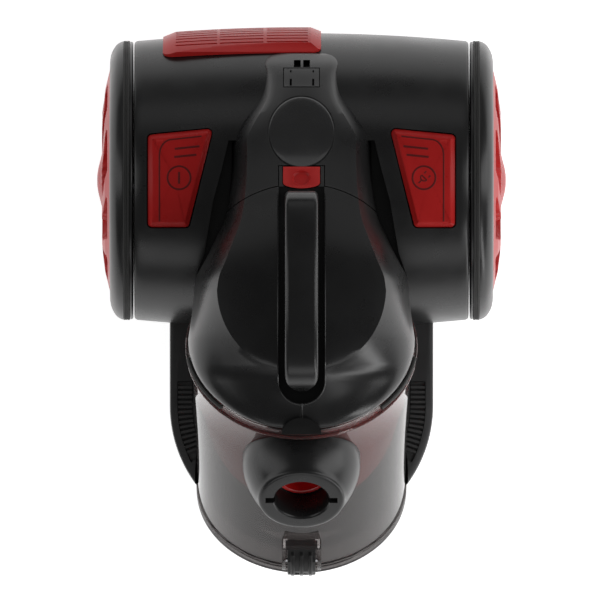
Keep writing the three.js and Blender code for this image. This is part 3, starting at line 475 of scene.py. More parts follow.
vent_black = moulded("vent_black", (0.014, 0.014, 0.014), (0.018, 0.018, 0.018), (0.03, 0.03, 0.03),
                     0.4, 0.02)
RIBS = 14
RIB_LINE = 83.35
RIB_PITCH = 3.5
straight = -60 - TUB_CENTRE
for side, hand in ((-1, "left"), (1, "right")):
    strip_plan = louver_plan(side, 78.2, 88.5, -58.4)
    strip = blank(slab(strip_plan, 40, 120))
    base = work(copy_of(strip), deck_slab(-2.7, -1.9), "INTERSECT")
    upright = []
    for i in range(RIBS):
        run = 2.2 + RIB_PITCH * i
        rib = block(side * RIB_LINE - 8, side * RIB_LINE + 8, -0.9, 0.9, 60, 120)
        if run < straight:
            bmesh.ops.translate(rib, verts=rib.verts, vec=(0, -60 - run, 0))
        else:
            bmesh.ops.rotate(rib, verts=rib.verts, cent=(0, 0, 0),
                             matrix=Matrix.Rotation(-side * (run - straight) / RIB_LINE, 3, "Z"))
            bmesh.ops.translate(rib, verts=rib.verts, vec=(0, TUB_CENTRE, 0))
        upright.append(rib)
    ribs = gathered(upright)
    work(strip, deck_slab(-2.2, 0.8), "INTERSECT")
    work(ribs, strip, "INTERSECT")
    work(ribs, base, "UNION")
    work(ribs, bin_well(0.2))
    finished(ribs, f"louver_strip_{hand}", "body", [f"louver_{hand}"], vent_black)

# ---------------------------------------------------------------------------
# Drive wheels. Each is a black moulded rim with a rounded outer shoulder and a soft
# rubber band let into its tread. It runs on a steel stub axle in the drum's end wall.
# ---------------------------------------------------------------------------

rubber_band = moulded("soft_rubber", (0.018, 0.018, 0.018), (0.027, 0.027, 0.026),
                      (0.045, 0.045, 0.043), 0.7, 0.05, 45, 900)
RIM_INNER = 120.5
RIM_OUTER = 137
for side, hand in ((-1, "left"), (1, "right")):
    rim = [(6.5, RIM_INNER), (98.4, RIM_INNER), (99.1, 120.8), (99.4, 121.4), (99.4, 122.5), (97.2, 122.6),
           (97.2, 127.4), (99.75, 127.4), (99.5, 128.6), (98.9, 129.9), (98.0, 131.4), (96.7, 132.8),
           (94.9, 134.1), (92.6, 135.4), (89.8, 136.4), (86.4, RIM_OUTER), (82.6, RIM_OUTER),
           (82.1, 136.6), (82.1, 124), (12, 124), (12, 136), (6.5, 136)]
    finished(blank(turned([(r, side * x) for r, x in rim], 160, "X", (0, AXLE_Y, AXLE_Z))),
             f"wheel_rim_{hand}", f"{hand}_wheel", [f"wheel_{hand}"], polished_black)
    band = [(97.4, 122.8), (99.5, 122.8), (99.9, 123.1), (100, 123.6), (100, 124.2), (99.6, 124.35),
            (99.6, 124.65), (100, 124.8), (100, 125.4), (99.6, 125.55), (99.6, 125.85), (100, 126),
            (99.95, 126.8), (99.75, 127.2), (97.4, 127.2)]
    finished(blank(turned([(r, side * x) for r, x in band], 160, "X", (0, AXLE_Y, AXLE_Z))),
             f"tread_band_{hand}", f"{hand}_wheel", [f"tread_{hand}"], rubber_band)

# ---------------------------------------------------------------------------
# Hub covers. Dark red ABS domes that snap into the wheels, with nine swept spokes
# round a domed boss and a raised rim; the hollows between the spokes are moulded in.
# ---------------------------------------------------------------------------

ruby = moulded("dark_red_plastic", (0.41, 0.0145, 0.014), (0.47, 0.018, 0.017),
               (0.52, 0.032, 0.030), 0.3, 0.006, ior=1.22)
SPOKES = 9
HUB_LINE = [(0, 146.4), (4, 146.3), (9, 145.5), (14.7, 144), (20, 142.7), (49, 142.6), (54.7, 141.9),
            (60, 141.2), (66, 140.5), (72, 139), (77.6, 137.6), (80.6, 136.9)]


def hub_height(radius):
    for (r0, x0), (r1, x1) in zip(HUB_LINE, HUB_LINE[1:]):
        if radius <= r1:
            return x0 + (x1 - x0) * (radius - r0) / (r1 - r0)
    return HUB_LINE[-1][1]


def ease(value, low, high):
    t = min(max((value - low) / (high - low), 0), 1)
    return t * t * (3 - 2 * t)


def hollow_depth(radius, angle):
    """How deep the hollow between two swept spokes is at a point of the cover's face."""
    sweep = 0.85 * ease(radius, 18, 78)
    phase = ((angle + sweep) * SPOKES / (2 * math.pi)) % 1
    spoke = abs(phase - 0.5) * 2
    half_spoke = 0.30 + 5.0 / max(radius, 12)
    across = ease(spoke, half_spoke, half_spoke + 3.0 / max(radius, 12) * 1.6)
    return 4.2 * across * ease(radius, 24.5, 28) * (1 - ease(radius, 70.5, 73.5))


for side, hand in ((-1, "left"), (1, "right")):
    face = [(0, hub_height(0))] + [(r, hub_height(r)) for r in
                                   [2.5 + 1.25 * i for i in range(63)]] + [(81.4, 136.4), (81.5, 135.6)]
    profile = face + [(81.5, 130), (79, 130), (78.6, 133), (66, 134.6), (49, 136), (0, 138.5)]
    cover = turned([(r, x) for r, x in profile], 288, "X")
    for vert in cover.verts:
        radius = math.hypot(vert.co.y, vert.co.z)
        if vert.co.x > hub_height(radius) - 0.3 and radius < 79:
            vert.co.x -= hollow_depth(radius, math.atan2(vert.co.z, vert.co.y))
    if side < 0:
        bmesh.ops.scale(cover, verts=cover.verts, vec=(-1, 1, 1))
    bmesh.ops.translate(cover, verts=cover.verts, vec=(0, AXLE_Y, AXLE_Z))
    bmesh.ops.recalc_face_normals(cover, faces=cover.faces)
    finished(blank(cover), f"hub_dome_{hand}", f"{hand}_wheel", [f"hub_cover_{hand}"], ruby, 40)

# ---------------------------------------------------------------------------
# Foot pedals. Dark red plates that follow the drum, with a wide chamfer all round, a
# raised border line and a plain sign in a ring: a bar for power, a plug for the cord.
# The border, ring and sign are low beads in a darker red. The darker red is painted
# shade that stands in for moulded grooves.
# ---------------------------------------------------------------------------


def wire(path, radius, closed=False):
    """A closed round bar along a path, used to press a groove or lay a bead."""
    curve = bpy.data.curves.new("bar", "CURVE")
    curve.dimensions = "3D"
    curve.bevel_depth = radius
    curve.bevel_resolution = 2
    curve.use_fill_caps = True
    spline = curve.splines.new("POLY")
    spline.points.add(len(path) - 1)
    for point, place in zip(spline.points, path):
        point.co = (*place, 1)
    spline.use_cyclic_u = closed
    holder = bpy.data.objects.new("bar", curve)
    bm = bmesh.new()
    bm.from_mesh(holder.to_mesh())
    bpy.data.objects.remove(holder)
    bmesh.ops.remove_doubles(bm, verts=bm.verts, dist=0.0005)
    bmesh.ops.recalc_face_normals(bm, faces=bm.faces)
    return bm


def nested(rings):
    """A skin over rings of points, each joined to the next, with the last one closed over."""
    bm = bmesh.new()
    previous = None
    for ring in rings:
        verts = [bm.verts.new(point) for point in ring]
        edges = [bm.edges.new((verts[i - 1], verts[i])) for i in range(len(verts))]
        if previous:
            bmesh.ops.bridge_loops(bm, edges=previous + edges)
        previous = edges
    return bm, previous


def fan(bm, loop, point):
    """Closes a loop of edges over one point."""
    tip = bm.verts.new(point)
    for edge in loop:
        bm.faces.new((edge.verts[0], edge.verts[1], tip))


def pedal_plate(side):
    corners = pedal_corners(side, 0)
    rim = rounded(corners, 3.2, 8)
    dense = []
    for i, point in enumerate(rim):
        step = rim[(i + 1) % len(rim)] - point
        pieces = max(1, round(step.length / 2.5))
        dense += [point + step * k / pieces for k in range(pieces)]
    middle = sum(dense, Vector((0, 0))) / len(dense)

    def inward(point, amount):
        """A rim point moved in square to the outline, for the narrow borders."""
        i = dense.index(point)
        way = (dense[(i + 1) % len(dense)] - dense[i - 1]).normalized()
        normal = Vector((-way.y, way.x))
        if normal.dot(middle - point) < 0:
            normal = -normal
        return point + normal * amount

    def ring(amount, lift, shrink=1.0):
        spots = [inward(p, amount) for p in dense]
        spots = [middle + (p - middle) * shrink for p in spots]
        return [(p.x, p.y, drum_top(p.x, p.y, lift)) for p in spots]

    rings = [ring(0, -2.6), ring(0, -1.3), ring(0.12, -0.95), ring(0.5, -0.8), ring(2.8, 0.72),
             ring(3.15, 0.98), ring(3.6, 1.1), ring(4.6, 1.1)]
    rings += [ring(4.6, 1.1, 1 - 0.125 * k) for k in range(1, 8)]
    bm, last = nested(rings)
    fan(bm, last, (middle.x, middle.y, drum_top(middle.x, middle.y, 1.1)))
    fan(bm, [e for e in bm.edges if e.is_boundary], (middle.x, middle.y, drum_top(middle.x, middle.y, -2.6)))
    bmesh.ops.recalc_face_normals(bm, faces=bm.faces)
    return blank(bm)


def on_pedal(side, points):
    return [(side * x, y, drum_top(x, y, 1.1)) for x, y in points]


# Darker red for the border, ring and sign beads: painted shade of moulded grooves.
groove_shade_red = moulded("red_with_painted_groove_shade", (0.10, 0.005, 0.005), (0.12, 0.007, 0.007),
                    (0.13, 0.010, 0.010), 0.55, 0.01, ior=1.3)
for side, pedal in ((-1, "power_pedal"), (1, "rewind_pedal")):
    plate = pedal_plate(side)
    bars = []
    ring_centre = (87.2, 87.4)
    border = [(101.2, 56.4), (101.2, 103.5)] + arc((92.4, 103.5), (8.8, 11.2), 0, 90, 12)[1:]
    border += [(71.2, 117.0)]
    lines = [(border, 0.6, False), (arc(ring_centre, (8.2, 8.2), 0, 360, 56)[:-1], 0.7, True)]
    if side < 0:
        lines += [([(87.2, 83.2), (87.2, 91.6)], 0.8, False)]
    else:
        lines += [([(83.4, 83.6), (85.6, 85.8)], 0.55, False),
                    (arc((87.4, 87.6), (2.5, 2.5), 135, 315, 14), 0.55, False),
                    ([(85.6, 89.4), (89.2, 85.8)], 0.55, False),
                    ([(87.4, 90.6), (88.8, 92.0)], 0.55, False),
                    ([(90.4, 87.6), (91.8, 89.0)], 0.55, False)]
    for x0, x1, y0, y1 in ((72.6, 90.2, 109.9, 108.0), (74.8, 90.6, 103.8, 102.2)):
        lines += [([(x0, y0), (x1, y1)], 0.8, False)]
    for points, radius, closed in lines:
        fine = []
        ends = points + [points[0]] if closed else points
        for (x0, y0), (x1, y1) in zip(ends, ends[1:]):
            pieces = max(1, round(math.hypot(x1 - x0, y1 - y0) / 1.5))
            fine += [(x0 + (x1 - x0) * k / pieces, y0 + (y1 - y0) * k / pieces) for k in range(pieces)]
        if not closed:
            fine.append(ends[-1])
        mark = wire(on_pedal(side, fine), radius, closed)
        for vert in mark.verts:
            level = drum_top(vert.co.x, vert.co.y, 1.1)
            vert.co.z = level + (vert.co.z - level) * 0.16 / radius
        bars.append(mark)
    stem_x = side * 101
    work(plate, block(stem_x - 2.5, stem_x + 2.5, 109.5, 114.5, 168.4, 199), "UNION")
    for x in (86, 100):
        near, far = sorted((side * x, side * (x + 4)))
        work(plate, slab([(53.2, 195.6), (53, 186), (59, 186), (63, 198)], near, far, "X"), "UNION")
    finished(plate, f"foot_{pedal}", pedal, [pedal], ruby, 35)
    finished(gathered(bars), f"signs_on_{pedal}", pedal, [], groove_shade_red, 60)

# ---------------------------------------------------------------------------
# Exhaust grille. A dark red cover on the drum's rear left, with a broad bevel round
# three rows of fine louvres; it clips over the exhaust filter.
# ---------------------------------------------------------------------------

GRILLE_LEFT, GRILLE_RIGHT = -99, 14
GRILLE_FROM, GRILLE_TO = 59, 121
GRILLE_RISE = 4.3
GRILLE_CORNER = 7
SLOT_ROWS = 17
FIRST_SLOT = 64.4
SLOT_PITCH = 3.2


def on_drum(x, angle, lift):
    radius = drum_radius(x) + lift
    turn = math.radians(angle)
    return (x, AXLE_Y + radius * math.sin(turn), AXLE_Z + radius * math.cos(turn))


def round_drum(cutter, angle):
    """Carries a cutter made upright to an angle round the wheel centre."""
    bmesh.ops.rotate(cutter, verts=cutter.verts, cent=(0, 0, 0),
                     matrix=Matrix.Rotation(math.radians(-angle), 3, "X"))
    bmesh.ops.translate(cutter, verts=cutter.verts, vec=(0, AXLE_Y, AXLE_Z))
    return cutter


grille_form = work(blank(barrel(GRILLE_RISE, 288)), barrel(0.35, 288))
wedge_corners = [on_drum(0, a, 40)[1:] for a in (GRILLE_FROM, 75, 90, 105, GRILLE_TO)]
work(grille_form, slab([(AXLE_Y, AXLE_Z)] + wedge_corners, GRILLE_LEFT, GRILLE_RIGHT, "X"), "INTERSECT")
for end, way in ((GRILLE_LEFT, 1), (GRILLE_RIGHT, -1)):
    reach = [(end - way * 3, 101), (end - way * 3, 140), (end + way * 9.5, 140),
             (end + way * 9.5, drum_radius(end) + 5.2), (end, drum_radius(end) + 1.4)]
    work(grille_form, turned([(r, x) for x, r in reach], 288, "X", (0, AXLE_Y, AXLE_Z)))
for angle, way in ((GRILLE_FROM, 1), (GRILLE_TO, -1)):
    foot = on_drum(0, angle, 1.3)[1:]
    shoulder = on_drum(0, angle + way * 4.8, GRILLE_RISE + 0.1)[1:]
    above = on_drum(0, angle + way * 4.8, 30)[1:]
    beyond = on_drum(0, angle - way * 6, 30)[1:]
    edge = on_drum(0, angle - way * 6, -1)[1:]
    work(grille_form, slab([foot, shoulder, above, beyond, edge], -130, 60, "X"))

for end, way in ((GRILLE_LEFT, 1), (GRILLE_RIGHT, -1)):
    for angle, turn in ((GRILLE_FROM, 1), (GRILLE_TO, -1)):
        corner = [(-4, -4), (GRILLE_CORNER, -4)]
        corner += arc((GRILLE_CORNER, GRILLE_CORNER), (GRILLE_CORNER, GRILLE_CORNER), 270, 180, 10)
        corner += [(-4, GRILLE_CORNER)]
        work(grille_form, round_drum(slab([(end + way * u, turn * v) for u, v in corner], 90, 130), angle))

slots = []
for x0, x1 in ((-90, -60), (-58.6, -27), (-25, 4.8)):
    for row in range(SLOT_ROWS):
        angle = FIRST_SLOT + SLOT_PITCH * row
        cutter = block(x0, x1, -0.95, 0.95, 90, 130)
        bmesh.ops.bevel(cutter, geom=[e for e in cutter.edges if abs(e.verts[0].co.z - e.verts[1].co.z) > 1],
                        offset=0.9, segments=3, profile=0.5, affect="EDGES", material=-1)
        slots.append(round_drum(cutter, angle))
work(grille_form, gathered(slots))
finished(grille_form, "exhaust_cover", "body", ["exhaust_grille"], ruby, 20)

# ---------------------------------------------------------------------------
# Canopy. One flowing form shared by the bin's lid and the rear cover: a darker level
# top inside a crease, with long bevels down to the sides. The lid and the cover are
# parted along an arc. Both are polished black ABS.
# ---------------------------------------------------------------------------

LID_CENTRE = -27.5
HALF_WIDTHS = [(LID_CENTRE, 80.6), (-21, 79.7), (-3.2, 77.3), (15.7, 75.4), (28.5, 69), (44, 61.3),
               (60.4, 54), (84, 50.5), (100, 49.7), (114, 49.4), (120, 47.5), (130.5, 40), (143.4, 30.4),
               (152, 27.2), (162, 26.3), (170, 27.4), (175, 25), (177, 20)]
CREST = [(-92, 264.5), (-80, 271.5), (-66, 277.5), (-52, 281.5), (-30, 284.5), (0, 283.5), (30, 276),
         (60, 262), (84, 247.5), (110, 230), (135, 209.5), (155, 190), (168, 175), (177, 158)]
REAR_EDGE = [(10, 186), (114, 186), (130, 190), (150, 178), (170, 158), (177, 150)]
LID_FOOT = 165.4
TRENCH_HALF = 16.3
TRENCH_END = -57


def flowing(table, at):
    """A smooth curve through a table of (position, value) rows."""
    if at <= table[0][0]:
        return table[0][1]
    if at >= table[-1][0]:
        return table[-1][1]
    i = max(k for k, row in enumerate(table) if row[0] <= at)

    def slope(k):
        before, after = table[max(k - 1, 0)], table[min(k + 1, len(table) - 1)]
        return (after[1] - before[1]) / (after[0] - before[0])

    (x0, y0), (x1, y1) = table[i], table[i + 1]
    t = (at - x0) / (x1 - x0)
    bend = (2 * t - 3) * t * t
    return (y0 * (1 + bend) - y1 * bend
            + (x1 - x0) * t * (1 - t) * ((1 - t) * slope(i) - t * slope(i + 1)))


def canopy_half(y):
    if y < LID_CENTRE:
        return 80.6 * math.sqrt(max(0, 1 - ((LID_CENTRE - y) / 64.2) ** 2))
    return flowing(HALF_WIDTHS, y)


def level_half(y):
    if y < 9:
        return 60 * math.sqrt(max(0, 1 - ((y - 9) / 61) ** 2))
    return 0.78 * flowing(HALF_WIDTHS, y)


def canopy_edge(y):
    if y < 10:
        return max(208.7 - (y - LID_CENTRE) * math.tan(math.radians(BIN_TILT)) + 6, 186)
    return flowing(REAR_EDGE, y)


BEVEL_STEPS = 12
LEVEL_STEPS = 7


def crease_drop(x, y):
    """How far the skin falls away outside the oval crease round the lid's level top."""
    if y < 9:
        beyond = (math.hypot(x / 60, (y - 9) / 61) - 1) * 60
    else:
        beyond = abs(x) - level_half(y)
    to_front = math.hypot(x / 80.6, (y - LID_CENTRE) / 64.2) if y < LID_CENTRE else abs(x) / canopy_half(y)
    fade = (1 - ease(to_front, 0.72, 0.97)) * (1 - ease(y, 20, 62))
    return 3.0 * (1 - math.exp(-max(beyond, 0) / 9)) * fade


def canopy_half_section(y, half, inset):
    """The right half of the canopy's cross section, from its foot to its crest."""
    shoulder = max(min(level_half(y), half - 6), 1)
    crown = 0.5 + 3.5 * ease(shoulder, 3, 16)
    top = flowing(CREST, y) - inset
    brow = top - crown
    edge = min(canopy_edge(y), top + inset - 3) - inset
    points = [(half, 130), (half, edge)]
    start = math.radians(28)
    straight = 0.5 * ease(y, 62, 105) * (1 - ease(y, 140, 165))
    for i in range(1, BEVEL_STEPS + 1):
        angle = math.pi / 2 - (math.pi / 2 - start) * i / BEVEL_STEPS
        across = (math.sin(angle) - math.sin(start)) / (1 - math.sin(start))
        rise = math.cos(angle) / math.cos(start)
        rise += straight * (1 - across - rise)
        points.append((shoulder + (half - shoulder) * across, edge + (brow - edge) * rise))
    for i in range(1, LEVEL_STEPS):
        part = 1 - i / LEVEL_STEPS
        points.append((shoulder * part, top - crown * part ** 2.2))
    points = points[:2] + [(x, z - crease_drop(x, y)) for x, z in points[2:]]
    return points, top - crease_drop(0, y)


def canopy_z(x, y):
    """Height of the canopy's skin over a plan point."""
    points, top = canopy_half_section(y, canopy_half(y), 0)
    line = points[1:] + [(0, top)]
    for (x0, z0), (x1, z1) in zip(line, line[1:]):
        if x1 <= abs(x) <= x0:
            return z0 + (z1 - z0) * (x0 - abs(x)) / max(x0 - x1, 1e-6)
    return line[0][1]


def canopy(inset=0.0):
    reach = 64.2 - inset
    stations = [(LID_CENTRE - reach * math.sin(math.radians(a)), (80.6 - inset) * math.cos(math.radians(a)))
                for a in (88.5, 86, 83, 80, 76, 72, 68, 64, 60, 56, 52, 48, 44, 40, 36, 32, 28, 24, 20, 16,
                          12, 8, 4)]
    y = LID_CENTRE
    while y < 177.1:
        stations.append((y, flowing(HALF_WIDTHS, y) - inset))
        y += 2.5 if y < 160 else 1.5
    bm = bmesh.new()
    previous = None
    for y, half in stations:
        right, top = canopy_half_section(y, half, inset)
        section = right + [(0, top)] + [(-x, z) for x, z in reversed(right)]
        verts = [bm.verts.new((x, y, z)) for x, z in section]
        if previous is None:
            bm.faces.new(verts)
        edges = [bm.edges.get((verts[i - 1], verts[i])) or bm.edges.new((verts[i - 1], verts[i]))
                 for i in range(len(verts))]
        if previous:
            bmesh.ops.bridge_loops(bm, edges=previous + edges)
        previous = edges
    bm.faces.new(verts)
    bmesh.ops.recalc_face_normals(bm, faces=bm.faces)
    return blank(bm)


def lid_plan(grow):
    plan = blank(slab(arc((0, 11.8), (76.5 + grow, 70.8 + grow), 0, 360, 180)[:-1], 150, 340))
    work(plan, block(-110, 110, -110, 11.8, 150, 340), "UNION")
    return work(plan, block(-16 - grow, 16 + grow, 60, 95.5 + grow, 150, 340), "UNION")


def in_bin(bm):
    """Puts a shape made in the bin's own upright frame where the tilted bin is."""
    bmesh.ops.transform(bm, verts=bm.verts, matrix=bin_frame)
    return bm


canopy_form = canopy()

# The lid sits in a step on the bin's rim, with a finger trench sunk along its middle.
lid_form = work(copy_of(canopy_form), lid_plan(0), "INTERSECT")
over_ring = blank(in_bin(rod("Z", 81.5, LID_FOOT, 194, segments=160)))
work(over_ring, block(-110, 110, -110, 120, SADDLE_FLOOR + 3.3, 340), "UNION")
work(lid_form, over_ring, "INTERSECT")
work(lid_form, in_bin(block(-150, 150, -140, 260, LID_FOOT, LID_FOOT + 300)), "INTERSECT")
trench_outline = [(TRENCH_HALF, 81), (-TRENCH_HALF, 81)]
trench_outline += arc((0, TRENCH_END), (TRENCH_HALF, TRENCH_HALF), 180, 360, 32)
work(lid_form, slab(trench_outline, 245, 340))
button_outline = [(13.6, 97), (-13.6, 97)] + arc((0, 83.2), (13.6, 4), 180, 360, 24)
work(lid_form, slab(button_outline, 225.5, 300))
work(lid_form, block(-23, 23, PORT_Y - 7, PORT_Y + 7, 170, 188))
lip_plan = ([(TRENCH_HALF + 0.5, 76 - 2.5 * k) for k in range(53)]
            + arc((0, TRENCH_END), (TRENCH_HALF + 0.5, TRENCH_HALF + 0.5), 0, -180, 36)
            + [(-TRENCH_HALF - 0.5, 76 - 2.5 * k) for k in range(52, -1, -1)])
work(lid_form, wire([(x, y, canopy_z(x, y) - 0.3) for x, y in lip_plan], 0.6), "UNION")
finished(lid_form, "bin_lid_shell", "dust_bin", ["bin_lid"], polished_black, 28)

# Soft black band between the lid and the bin's rim, laid only on both front quarters: a dark piece that is
# painted shade for the gap there.
for start, end, hand in ((190, 226, "left"), (314, 350, "right")):
    span = [math.radians(start + (end - start) * k / 30) for k in range(31)]
    band_path = [bin_frame @ Vector((81.6 * math.cos(a), 81.6 * math.sin(a), 164.6)) for a in span]
    finished(blank(wire(band_path, 1.7)), f"rim_gap_shade_band_{hand}", "dust_bin", [], rubber_band)

# The rear cover runs back over the drum from the parting line.
cover_form = work(canopy_form, lid_plan(0.6))
work(cover_form, block(-110, 110, 40, 200, 140, 340), "INTERSECT")
work(cover_form, block(-110, 110, 0, 114.4, 100, SADDLE_FLOOR + 0.3))
work(cover_form, work(blank(barrel(0.3)), saddle(-0.4)))
grille_corners = [on_drum(0, a, 40)[1:] for a in (GRILLE_FROM - 0.3, 75, 90, 105, GRILLE_TO)]
grille_space = slab([(AXLE_Y, AXLE_Z)] + grille_corners, GRILLE_LEFT, GRILLE_RIGHT + 0.4, "X")
work(cover_form, work(blank(barrel(GRILLE_RISE + 0.4)), grille_space, "INTERSECT"))
work(cover_form, block(-13.1, 13.1, 151.9, 166.1, 150, 220))
for x0, x1 in ((-5.4, -0.6), (1.2, 6.0)):
    work(cover_form, block(x0, x1, 166.4, 171.6, 150, 220))
disc_plan = arc((0, 120), (23.6, 25.6), 0, 360, 96)[:-1]
work(cover_form, wire([(x, y, canopy_z(x, y) + 0.1) for x, y in disc_plan], 0.55, True))
finished(cover_form, "rear_cover_shell", "body", ["rear_cover"], polished_black, 28)

# ---------------------------------------------------------------------------
# Oval inlay on the rear cover: a plain glossy disc pressed into a shallow groove.
# ---------------------------------------------------------------------------

inlay, inner_loop = nested([[(x, y, canopy_z(x, y) + lift) for x, y in arc((0, 120), (a, b), 0, 360, 96)[:-1]]
                            for a, b, lift in ((23.1, 25.1, -0.5), (23.1, 25.1, -0.12), (22.9, 24.9, 0.02),
                                               (22.4, 24.3, 0.08), (20.4, 22.2, 0.1), (16.5, 18, 0.1),
                                               (11.5, 12.5, 0.1), (6, 6.6, 0.1), (2, 2.2, 0.1))])
fan(inlay, inner_loop, (0, 120, canopy_z(0, 120) + 0.1))
fan(inlay, [e for e in inlay.edges if e.is_boundary], (0, 120, canopy_z(0, 120) - 0.5))
bmesh.ops.recalc_face_normals(inlay, faces=inlay.faces)
inlay_black = moulded("inlay_black", (0.012, 0.012, 0.0125), (0.016, 0.016, 0.0165),
                      (0.03, 0.03, 0.03), 0.16, 0.004, coat=0.5)
finished(blank(inlay), "oval_inlay", "body", ["cover_disc"], inlay_black, 40)

# ---------------------------------------------------------------------------
# Rear catch: a satin black sliding plate with two finger slits and a rounded front lip.
# ---------------------------------------------------------------------------

catch_form = work(canopy(), block(-12.5, 12.5, 152.5, 165.5, 160, 230), "INTERSECT")
work(catch_form, barrel(0.6))
for x0, x1 in ((-8.4, -6.9), (7.6, 9.1)):
    work(catch_form, block(x0, x1, 153.2, 158.0, 182, 230))
    work(catch_form, block(x0 + 0.2, x1 - 0.2, 162.6, 164.2, 176, 230))
finished(catch_form, "rear_catch_plate", "body", ["rear_catch"], satin_black, 28)

# ---------------------------------------------------------------------------
# Carry handle: a bar arching over the trench, rounded in front and square behind,
# moulded in black ABS with soft long edges and fixed to the lid at both ends.
# ---------------------------------------------------------------------------

handle_low, handle_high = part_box("carry_handle")
HANDLE_HALF = 500 * (handle_high.x - handle_low.x)


def through(points, steps=9):
    """A smooth line through points, both ends kept."""
    line = []
    for i in range(len(points) - 1):
        p0, p1 = Vector(points[max(i - 1, 0)]), Vector(points[i])
        p2, p3 = Vector(points[i + 1]), Vector(points[min(i + 2, len(points) - 1)])
        for k in range(steps):
            t = k / steps
            line.append(0.5 * ((2 * p1) + (p2 - p0) * t + (2 * p0 - 5 * p1 + 4 * p2 - p3) * t * t
                               + (3 * p1 - p0 - 3 * p2 + p3) * t ** 3))
    return line + [Vector(points[-1])]


top_line = through([(77.6, 284), (75, 293), (67, 301), (40, 310.5), (15, 315), (-10, 316), (-32, 313.6),
                    (-50, 307), (-60.5, 294.5), (-64.5, 277)])
under_line = through([(-48, 270), (-45, 283), (-34, 293), (-12, 299), (15, 298.5), (40, 294), (57, 288),
                      (64, 279), (66, 266)])
side_view = [Vector((77.6, 245.3))] + top_line + [Vector((-64.5, 245.3)), Vector((-48, 245.3))]
side_view += under_line + [Vector((66, 245.3))]
bar = slab(side_view, -HANDLE_HALF, HANDLE_HALF, "X")
rims = [e for e in bar.edges if abs(e.verts[0].co.x - e.verts[1].co.x) < 0.01
        and len(e.link_faces) == 2 and any(len(f.verts) > 8 for f in e.link_faces)]
bmesh.ops.bevel(bar, geom=rims, offset=3.4, segments=5, profile=0.5, affect="EDGES", material=-1)
nose = -64.5 + HANDLE_HALF
bar_plan = [(HANDLE_HALF, 90), (-HANDLE_HALF, 90)] + arc((0, nose), (HANDLE_HALF, HANDLE_HALF), 180, 360, 48)
handle_form = work(blank(bar), slab(bar_plan, 240, 330), "INTERSECT")
finished(handle_form, "carry_handle_bar", "dust_bin", ["carry_handle"], polished_black, 40)

# ---------------------------------------------------------------------------
# Bin release button: a dark red push button behind the handle, curved in front, with
# a round thumb hollow.
# ---------------------------------------------------------------------------

press_plan = [(13.1, 95.1), (-13.1, 95.1)] + arc((0, 83.7), (13.1, 4), 180, 360, 24)
button_body = slab(press_plan, 236, 262)
slope = [(70, 236), (100, 236), (100, 238), (70, 257.5)]
button_form = work(blank(button_body), slab(slope, -20, 20, "X"), "INTERSECT")
dish = turned([(0, -0.9), (3, -1.0), (4.6, -1.3), (5.1, -1.25), (5.7, -0.8), (6.5, 0.3), (6.8, 1.6),
               (6.8, 4), (0, 4)], 96, "Z")
fall = math.atan2(257.5 - 238, 100 - 70)
bmesh.ops.rotate(dish, verts=dish.verts, matrix=Matrix.Rotation(-fall, 3, "X"))
bmesh.ops.translate(dish, verts=dish.verts, vec=(0, 87.2, 257.5 - 17.2 * math.tan(fall)))
work(button_form, dish)
finished(button_form, "release_push_button", "release_button", ["release_button"], ruby, 30)

# ---------------------------------------------------------------------------
# Dust bin: a smoke tinted clear cup with a rolled rim, hinge ears behind its base and
# two cheeks and an arch that guard the base latch in front.
# ---------------------------------------------------------------------------

CUP_HEIGHT = 165
CUP_FOOT = 73.8
CUP_MOUTH = 78.4
CUP_WALL = 2.2
INLET_UP = 112.5
INLET_RISE = 3
HINGE = (77.5, -3)
LATCH = (-79.5, 14)


def cup_radius(z):
    return CUP_FOOT + (CUP_MOUTH - CUP_FOOT) * z / CUP_HEIGHT


def on_inlet(bm):
    """Lays an upright shape along the hose inlet, then puts it in the tilted bin."""
    bmesh.ops.transform(bm, verts=bm.verts, matrix=Matrix.Translation((0, 0, INLET_UP))
                        @ Matrix.Rotation(math.radians(90 - INLET_RISE), 4, "X"))
    return in_bin(bm)


cup_wall = [(CUP_FOOT, 0.6), (CUP_FOOT + 0.5, 1.4), (cup_radius(40), 40), (cup_radius(80), 80),
            (cup_radius(120), 120), (cup_radius(155.4), 155.4), (78.6, 156.4), (79.3, 157),
            (81.8, 157.6), (82.6, 158.4), (82.7, 159.4), (82.2, 160.2), (80.6, 160.6),
            (80.4, 164.5), (80.0, CUP_HEIGHT), (CUP_MOUTH - CUP_WALL, CUP_HEIGHT),
            (cup_radius(80) - CUP_WALL, 80), (CUP_FOOT - CUP_WALL, 0), (CUP_FOOT - 0.5, 0)]
cup_form = blank(in_bin(turned(cup_wall, 160, "Z")))
cheek = [(-70, 0.5), (-80.5, 3), (-82.8, 8), (-84, 14), (-83.2, 21), (-81.4, 27), (-80, 31), (-70, 31)]
for x in (-14, 11.4):
    work(cup_form, in_bin(slab(cheek, x, x + 2.6, "X")), "UNION")
work(cup_form, in_bin(slab([(-70, 31), (-80, 31), (-82, 29), (-70, 29)], -14, 14, "X")), "UNION")
ear = [(69, 12), (74, 12), (80.4, -1), (80.4, -5), (77.5, -6), (74.8, -4), (74, 0.6), (69, 0.6)]
for x in (-24, 19.4):
    work(cup_form, in_bin(slab(ear, x, x + 4.6, "X")), "UNION")
work(cup_form, in_bin(rod("Z", CUP_FOOT - 1.6, 0.4, 60, segments=160)))
work(cup_form, on_inlet(rod("Z", 18.8, 60, 100, segments=96)))
work(cup_form, in_bin(rod("X", 1.8, -30, 30, (0, *HINGE), 24)))
work(cup_form, in_bin(rod("X", 1.7, -30, 30, (0, *LATCH), 24)))


